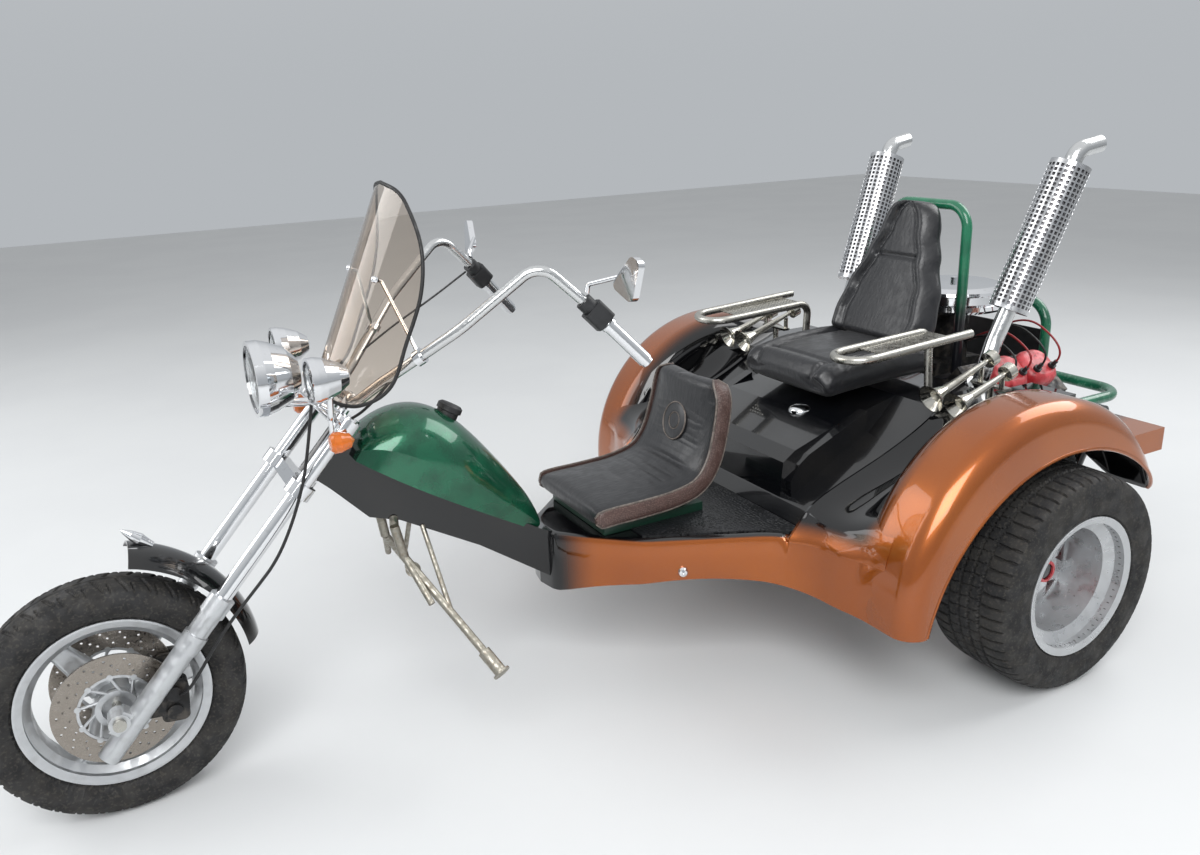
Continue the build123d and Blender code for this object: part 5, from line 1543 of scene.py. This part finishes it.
def cord(name, points, radius, finish, body,
         node=None):
    """A cord as a round curve along its route; its real length is measured and then not used."""
    data = bpy.data.curves.new(name, "CURVE")
    data.dimensions = "3D"
    data.bevel_depth = radius
    data.bevel_resolution = 4
    data.use_fill_caps = True
    spline = data.splines.new("NURBS")
    spline.points.add(len(points) - 1)
    for point, place in zip(spline.points, points):
        point.co = (*place, 1)
    spline.order_u = 3
    spline.use_endpoint_u = True
    spline.resolution_u = 10
    data.materials.append(finish_of(finish))
    piece = bpy.data.objects.new(name, data)
    bpy.context.scene.collection.objects.link(piece)
    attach(piece, body)
    run_length(piece)
    if node:
        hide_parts(node)
    return piece


# From the fork clamps down behind the left leg to the caliper
HOSE_ROUTE = [(1.873, 0.166, 1.000), (1.892, 0.166, 0.905), (1.915, 0.168, 0.815), (1.955, 0.168, 0.715),
              (2.003, 0.168, 0.630), (2.060, 0.168, 0.572), (2.117, 0.168, 0.515), (2.170, 0.166, 0.452),
              (2.216, 0.160, 0.385), (2.246, 0.138, 0.335), (2.262, 0.112, 0.318)]
# From the far switch box to the bar's middle, and from the bar down to the clamps
CLUTCH_ROUTE = [(1.262, -0.366, 1.180), (1.300, -0.350, 1.164), (1.380, -0.290, 1.140),
                (1.480, -0.220, 1.112), (1.580, -0.170, 1.078), (1.686, -0.130, 1.026)]
SWITCH_ROUTE = [(1.640, 0.150, 1.048), (1.672, 0.150, 1.024), (1.706, 0.144, 0.988),
                (1.734, 0.128, 0.958), (1.754, 0.110, 0.938), (1.770, 0.096, 0.927)]
HOSE_R, CLUTCH_R, SWITCH_R, LEAD_R = 0.004, 0.0028, 0.0036, 0.0035
# The engine's banks lean out from a line at this height; their plugs stand as far up and across the bank
BANK_Z = 0.350
BANK_TILT = math.radians(40)
PLUG_X = (-0.268, -0.338, -0.408, -0.478)
PLUG_UP, PLUG_ACROSS = 0.566, 0.022
PLUG_CAP_R, PLUG_NECK_R = 0.013, 0.007
# Where the first lead of a bank goes in, and how far behind it each other one does
LEADS_END = (-0.405, 0.052, 0.800)
LEAD_STEP = 0.012
# Brake rings: how far each stands from the middle, its radii and half thickness, its holes and their circles
DISC_Y = 0.074
RING_IN, RING_OUT, RING_HALF = 0.088, 0.143, 0.0025
RING_HOLES, HOLE_R = 54, 0.0034
HOLE_CIRCLES = (0.101, 0.115, 0.129)
# Their carriers: an inner and an outer ring as radii, half thickness and sides, and the slanted arms between
CARRIER_RINGS = ((0.034, 0.048, 0.004, 48), (0.081, 0.0875, 0.002, 64))
CARRIER_ARMS, CARRIER_SLANT = 10, 0.34
BUTTON_FOOT, BUTTON_TOP, BUTTON_R = (1.196, -0.389, 1.150), (1.190, -0.393, 1.178), 0.010
CAP_AT = (0.330, 0.085, 0.690)
CAP_PROFILE = [(0.0, 0.016), (0.020, 0.015), (0.032, 0.010), (0.037, 0.003), (0.037, -0.004), (0.0, -0.004)]
# The plinth under the rider's seat: its ends along the deck, half its width, its foot and top
PLINTH_X, PLINTH_HALF, PLINTH_Z = (0.765, 1.105), 0.168, (0.4706, 0.5015)
# The round panel: its section as radius and rise, and its two lines of piping with their thickness
PANEL_SECTION = [(0.001, 0.0034), (0.022, 0.0032), (0.024, 0.0016), (0.027, 0.0016), (0.030, 0.0034),
                 (0.054, 0.0030), (0.058, 0.0008), (0.058, -0.014), (0.001, -0.014)]
PANEL_PIPING = ((0.0262, 0.0016), (0.058, 0.0026))
PANEL_RISE = 0.0425


def washer(inner, outer, half, sides):
    """A flat ring about the Z axis, as thick to each side as half."""
    return lathed([(inner, -half), (outer, -half), (outer, half), (inner, half)], sides)


def on_circle(reach, turn):
    """A point at an angle round the Z axis."""
    return Vector((math.cos(turn) * reach, math.sin(turn) * reach, 0))


def pin(place, half, radius, sides):
    """A short rod through a point, along the Z axis."""
    return rod_mesh(place - Vector((0, 0, half)), place + Vector((0, 0, half)), radius, sides)


class TRIKE_OT_fittings(bpy.types.Operator):
    """Makes the cords, plug caps, brake discs, push button, tunnel cap, plinth and stitched round panel"""

    bl_idname = "trike.fittings"
    bl_label = "Fittings"

    def execute(self, context):
        hose, clutch, switch = ([at(*p) for p in route] for route in (HOSE_ROUTE, CLUTCH_ROUTE, SWITCH_ROUTE))
        cord("brake_line", hose, HOSE_R, "hose", "steering", node="brake_hose")
        cord("clutch_cable", clutch, CLUTCH_R, "hose", "steering")
        cord("switch_cable", switch, SWITCH_R, "hose", "steering")
        self.leads()
        self.discs()
        self.trim()
        self.base()
        self.panel()
        return {"FINISHED"}

    def leads(self):
        """Plug caps in each red cover, and the leads that bow from them to the intake column."""
        caps = []
        for side in (-1, 1):
            out = Vector((0, side * math.sin(BANK_TILT), math.cos(BANK_TILT)))
            along = Vector((0, side * math.cos(BANK_TILT), -math.sin(BANK_TILT)))
            for k, x in enumerate(PLUG_X):
                plug = at(x, 0, BANK_Z) + out * PLUG_UP + along * PLUG_ACROSS
                caps.append(rod_mesh(plug - out * 0.010, plug + out * 0.012, PLUG_CAP_R))
                caps.append(rod_mesh(plug + out * 0.012, plug + out * 0.030, PLUG_NECK_R))
                start = plug + out * 0.028
                end = at(LEADS_END[0] - LEAD_STEP * k, side * LEADS_END[1], LEADS_END[2])
                lift = 0.050 + 0.012 * k
                points = [start, start + out * 0.030,
                          start + out * 0.045 + Vector((0.004 * k, -side * 0.030, lift * 0.5)),
                          start.lerp(end, 0.35) + Vector((0.020 - 0.012 * k, 0, lift + 0.040)),
                          start.lerp(end, 0.65) + Vector((0.010, 0, lift * 0.5 + 0.030)),
                          end + Vector((0, side * 0.035, 0.012)), end]
                name = f"plug_lead_{'left' if side > 0 else 'right'}_{k}"
                cord(name, points, LEAD_R, "lead_red" if k % 2 else "hose", "chassis")
        new_piece("plug_caps", joined(caps), finish_of("plastic"), "chassis", 40)

    def discs(self):
        """Drilled brake rings on slotted carriers, both sides of the front wheel."""
        low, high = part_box("front_rim")
        centre = (low + high) / 2
        rings, carriers = [], []
        for side in (-1, 1):
            holes = [pin(on_circle(HOLE_CIRCLES[k % 3], 2 * math.pi * k / RING_HOLES), 0.01, HOLE_R, 8)
                     for k in range(RING_HOLES)]
            ring = cut(washer(RING_IN, RING_OUT, RING_HALF, 96), joined(holes))
            carrier = [washer(*measures) for measures in CARRIER_RINGS]
            for k in range(CARRIER_ARMS):
                turn = 2 * math.pi * k / CARRIER_ARMS
                outer = on_circle(0.083, turn + CARRIER_SLANT * side)
                carrier.append(tube_mesh([on_circle(0.046, turn), outer], 0.0040, 8))
                carrier.append(pin(outer * 1.03, 0.0045, 0.0075, 12))
            for mesh, store in ((ring, rings), (joined(carrier), carriers)):
                store.append(set_wheel(mesh, centre + Vector((0, side * DISC_Y, 0))))
        piece = new_piece("drilled_brake_rings", joined(rings), finish_of("disc"), "front_wheel", 30)
        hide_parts("brake_discs")
        new_piece("disc_carriers", joined(carriers), finish_of("alloy"), "front_wheel", 40)

    def trim(self):
        """The red push button on the far switch box and the chrome cap on the tunnel."""
        button = rod_mesh(at(*BUTTON_FOOT), at(*BUTTON_TOP), BUTTON_R, 20)
        new_piece("stop_button", button, finish_of("lead_red"), "steering", 40)
        cap = lathed(CAP_PROFILE, 40)
        cap.transform(Matrix.Translation(at(*CAP_AT)))
        new_piece("tunnel_cap", cap, finish_of("chrome"), "chassis", 40)

    def base(self):
        """The rounded slab under the rider's seat."""
        back, front = PLINTH_X
        outline = [(back, -PLINTH_HALF), (front, -PLINTH_HALF), (front, PLINTH_HALF), (back, PLINTH_HALF)]
        plinth = applied(plate(outline, *PLINTH_Z), "BEVEL", width=0.003, segments=2)
        piece = new_piece("rider_seat_plinth", plinth, finish_of("seat_base"), "chassis", 40)
        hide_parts("rider_seat_base")

    def panel(self):
        """A plain stitched round panel on the front of the rider's seat back."""
        here, up, share = min(stations(RIDER_LINE, 0.008), key=lambda item: abs(item[2] - PANEL_AT))
        out = Vector((up.z, 0, -up.x))
        across = Vector((0, 1, 0))
        face = here + out * PANEL_RISE
        rings = [circle(face + out * rise, across, up, radius, 64) for radius, rise in PANEL_SECTION]
        new_piece("seat_round_panel", section_mesh(rings), finish_of("vinyl"), "chassis", 30)
        loops = [loop_mesh(circle(face + out * 0.002, across, up, radius, 72), thick, 8)
                 for radius, thick in PANEL_PIPING]
        new_piece("seat_panel_piping", joined(loops), finish_of("piping"), "chassis", 60)


class TRIKE_OT_finishes(bpy.types.Operator):
    """Gives every carried-over solid its finish"""

    bl_idname = "trike.finishes"
    bl_label = "Finishes"

    def execute(self, context):
        for finish, names in NODES_IN.items():
            for name in names.split():
                data = NODES[name].data
                material = finish_of(finish)
                if not data.materials:
                    data.materials.append(material)
                for index in range(len(data.materials)):
                    data.materials[index] = material
        return {"FINISHED"}


# Stage
CAMERA_YAW, CAMERA_DOWN, CAMERA_ROLL = -118.15, 18.17, -2.13
CAMERA_AT = (2.331, 2.456, 1.651)
CAMERA_LENS = 989.0 / 1200 * 36


class TRIKE_OT_stage(bpy.types.Operator):
    """Sets the pale floor, the soft lights and the camera at the photograph's angle"""

    bl_idname = "trike.stage"
    bl_label = "Stage"

    def execute(self, context):
        floor = mesh_from("floor", [(-14, -14, 0), (14, -14, 0), (14, 14, 0), (-14, 14, 0)], [(0, 1, 2, 3)])
        ground = bpy.data.objects.new("floor", floor)
        context.scene.collection.objects.link(ground)
        pale = Finish("Pale Studio Floor", "#dcdedf", 0.75)
        pale.cover(pale.spots(900, 0.0, 0.25, detail=4), "#d2d4d6")
        floor.materials.append(pale.material)
        self.light(context, "key", (2.6, 4.2, 4.6), 4.0, 330)
        self.light(context, "fill", (4.6, -3.0, 3.4), 4.0, 130)
        self.light(context, "back", (-4.4, 0.6, 4.4), 3.5, 150)
        self.sky(context)
        self.camera(context)
        context.scene.view_settings.view_transform = "Standard"
        return {"FINISHED"}

    def light(self, context, name, place, size, power):
        """A square lamp turned to the object's middle."""
        data = bpy.data.lights.new(name, "AREA")
        data.size = size
        data.energy = power
        lamp = bpy.data.objects.new(name, data)
        lamp.location = place
        lamp.rotation_euler = (Vector((0, 0, 0.5)) - Vector(place)).to_track_quat("-Z", "Y").to_euler()
        context.scene.collection.objects.link(lamp)

    def sky(self, context):
        """A soft light for the forms, and a brighter graded sky for what is seen or mirrored."""
        world = bpy.data.worlds.new("studio")
        world.use_nodes = True
        tree = world.node_tree
        tree.nodes.clear()
        soft = add(tree, "ShaderNodeBackground", {"Color": linear("#f2f4f6"), "Strength": 0.5})
        place = add(tree, "ShaderNodeTexCoord").outputs["Generated"]
        height = add(tree, "ShaderNodeSeparateXYZ", {0: place}).outputs["Z"]
        rise = add(tree, "ShaderNodeMapRange", {"Value": height, 1: 0.0, 2: 0.9},
                   interpolation_type="SMOOTHSTEP").outputs[0]
        tone = add(tree, "ShaderNodeMix", {0: rise, 6: linear("#b4b8bc"), 7: linear("#f4f6f8")},
                   data_type="RGBA").outputs[2]
        seen = add(tree, "ShaderNodeBackground", {"Color": tone, "Strength": 1.0})
        ray = add(tree, "ShaderNodeLightPath").outputs
        sharp = ray["Is Camera Ray"]
        for other in ("Is Glossy Ray", "Is Transmission Ray"):
            sharp = add(tree, "ShaderNodeMath", {0: sharp, 1: ray[other]}, operation="MAXIMUM").outputs[0]
        both = add(tree, "ShaderNodeMixShader", {0: sharp, 1: soft.outputs[0], 2: seen.outputs[0]})
        add(tree, "ShaderNodeOutputWorld", {"Surface": both.outputs[0]})
        context.scene.world = world

    def camera(self, context):
        """The photograph's camera, from its angles and place."""
        yaw, down, roll = (math.radians(a) for a in (CAMERA_YAW, CAMERA_DOWN, CAMERA_ROLL))
        ahead = Vector((math.cos(yaw) * math.cos(down), math.sin(yaw) * math.cos(down), -math.sin(down)))
        right = Vector((math.sin(yaw), -math.cos(yaw), 0))
        up = right.cross(ahead)
        right, up = right * math.cos(roll) + up * math.sin(roll), up * math.cos(roll) - right * math.sin(roll)
        data = bpy.data.cameras.new("camera")
        data.sensor_width = 36
        data.lens = CAMERA_LENS
        data.clip_end = 60
        camera = bpy.data.objects.new("camera", data)
        turned = Matrix((right, up, -ahead)).transposed().to_4x4()
        camera.matrix_world = Matrix.Translation(at(*CAMERA_AT)) @ turned
        context.scene.collection.objects.link(camera)
        context.scene.camera = camera


# Panel, settings and registration
class TrikeColours(bpy.types.PropertyGroup):
    copper: bpy.props.FloatVectorProperty(name="Copper", description="Copper paint of the fenders and skirts",
                                          default=linear("#a05318")[:3], subtype="COLOR", size=3, min=0, max=1)
    body_black: bpy.props.FloatVectorProperty(name="Body Black", description="Black gel coat of the body",
                                              default=linear("#0b0c0f")[:3], subtype="COLOR", size=3, min=0, max=1)
    tank_green: bpy.props.FloatVectorProperty(name="Tank Green", description="Green paint of the tank",
                                              default=linear("#0f5a40")[:3], subtype="COLOR", size=3, min=0, max=1)
    cover_red: bpy.props.FloatVectorProperty(name="Cover Red",
                                             description="Red paint of the engine covers and hubs",
                                             default=linear("#a82a30")[:3], subtype="COLOR", size=3, min=0, max=1)
    vinyl: bpy.props.FloatVectorProperty(name="Vinyl", description="Vinyl of the seats",
                                         default=linear("#15161a")[:3], subtype="COLOR", size=3, min=0, max=1)


class TrikeSizes(bpy.types.PropertyGroup):
    hole_pitch: bpy.props.FloatProperty(name="Hole Pitch",
                                        description="Distance between rows of holes in the stacks",
                                        default=0.0150, unit="LENGTH", min=0.006, max=0.04)
    hole_size: bpy.props.FloatProperty(name="Hole Size", description="Width of a hole in the stacks",
                                       default=0.0104, unit="LENGTH", min=0.002, max=0.02)


class TRIKE_PT_panel(bpy.types.Panel):
    bl_label = "Trike"
    bl_idname = "TRIKE_PT_panel"
    bl_space_type = "VIEW_3D"
    bl_region_type = "UI"
    bl_category = "Trike"

    def draw(self, context):
        for group in (context.scene.trike_colours, context.scene.trike_sizes):
            for name in group.__annotations__:
                self.layout.prop(group, name)
        for operator in OPERATORS:
            self.layout.operator(operator.bl_idname)


OPERATORS = (TRIKE_OT_stage, TRIKE_OT_finishes, TRIKE_OT_body, TRIKE_OT_tyres, TRIKE_OT_stacks,
             TRIKE_OT_rider_seat, TRIKE_OT_passenger_seat, TRIKE_OT_windscreen, TRIKE_OT_deck_and_arms,
             TRIKE_OT_fittings)
CLASSES = (TrikeColours, TrikeSizes, *OPERATORS, TRIKE_PT_panel)


def register():
    for item in CLASSES:
        bpy.utils.register_class(item)
    bpy.types.Scene.trike_colours = bpy.props.PointerProperty(type=TrikeColours)
    bpy.types.Scene.trike_sizes = bpy.props.PointerProperty(type=TrikeSizes)


def unregister():
    del bpy.types.Scene.trike_colours
    del bpy.types.Scene.trike_sizes
    for item in reversed(CLASSES):
        bpy.utils.unregister_class(item)


def main():
    register()
    for operator in OPERATORS:
        group, name = operator.bl_idname.split(".")
        getattr(getattr(bpy.ops, group), name)()


if __name__ == "__main__":
    main()
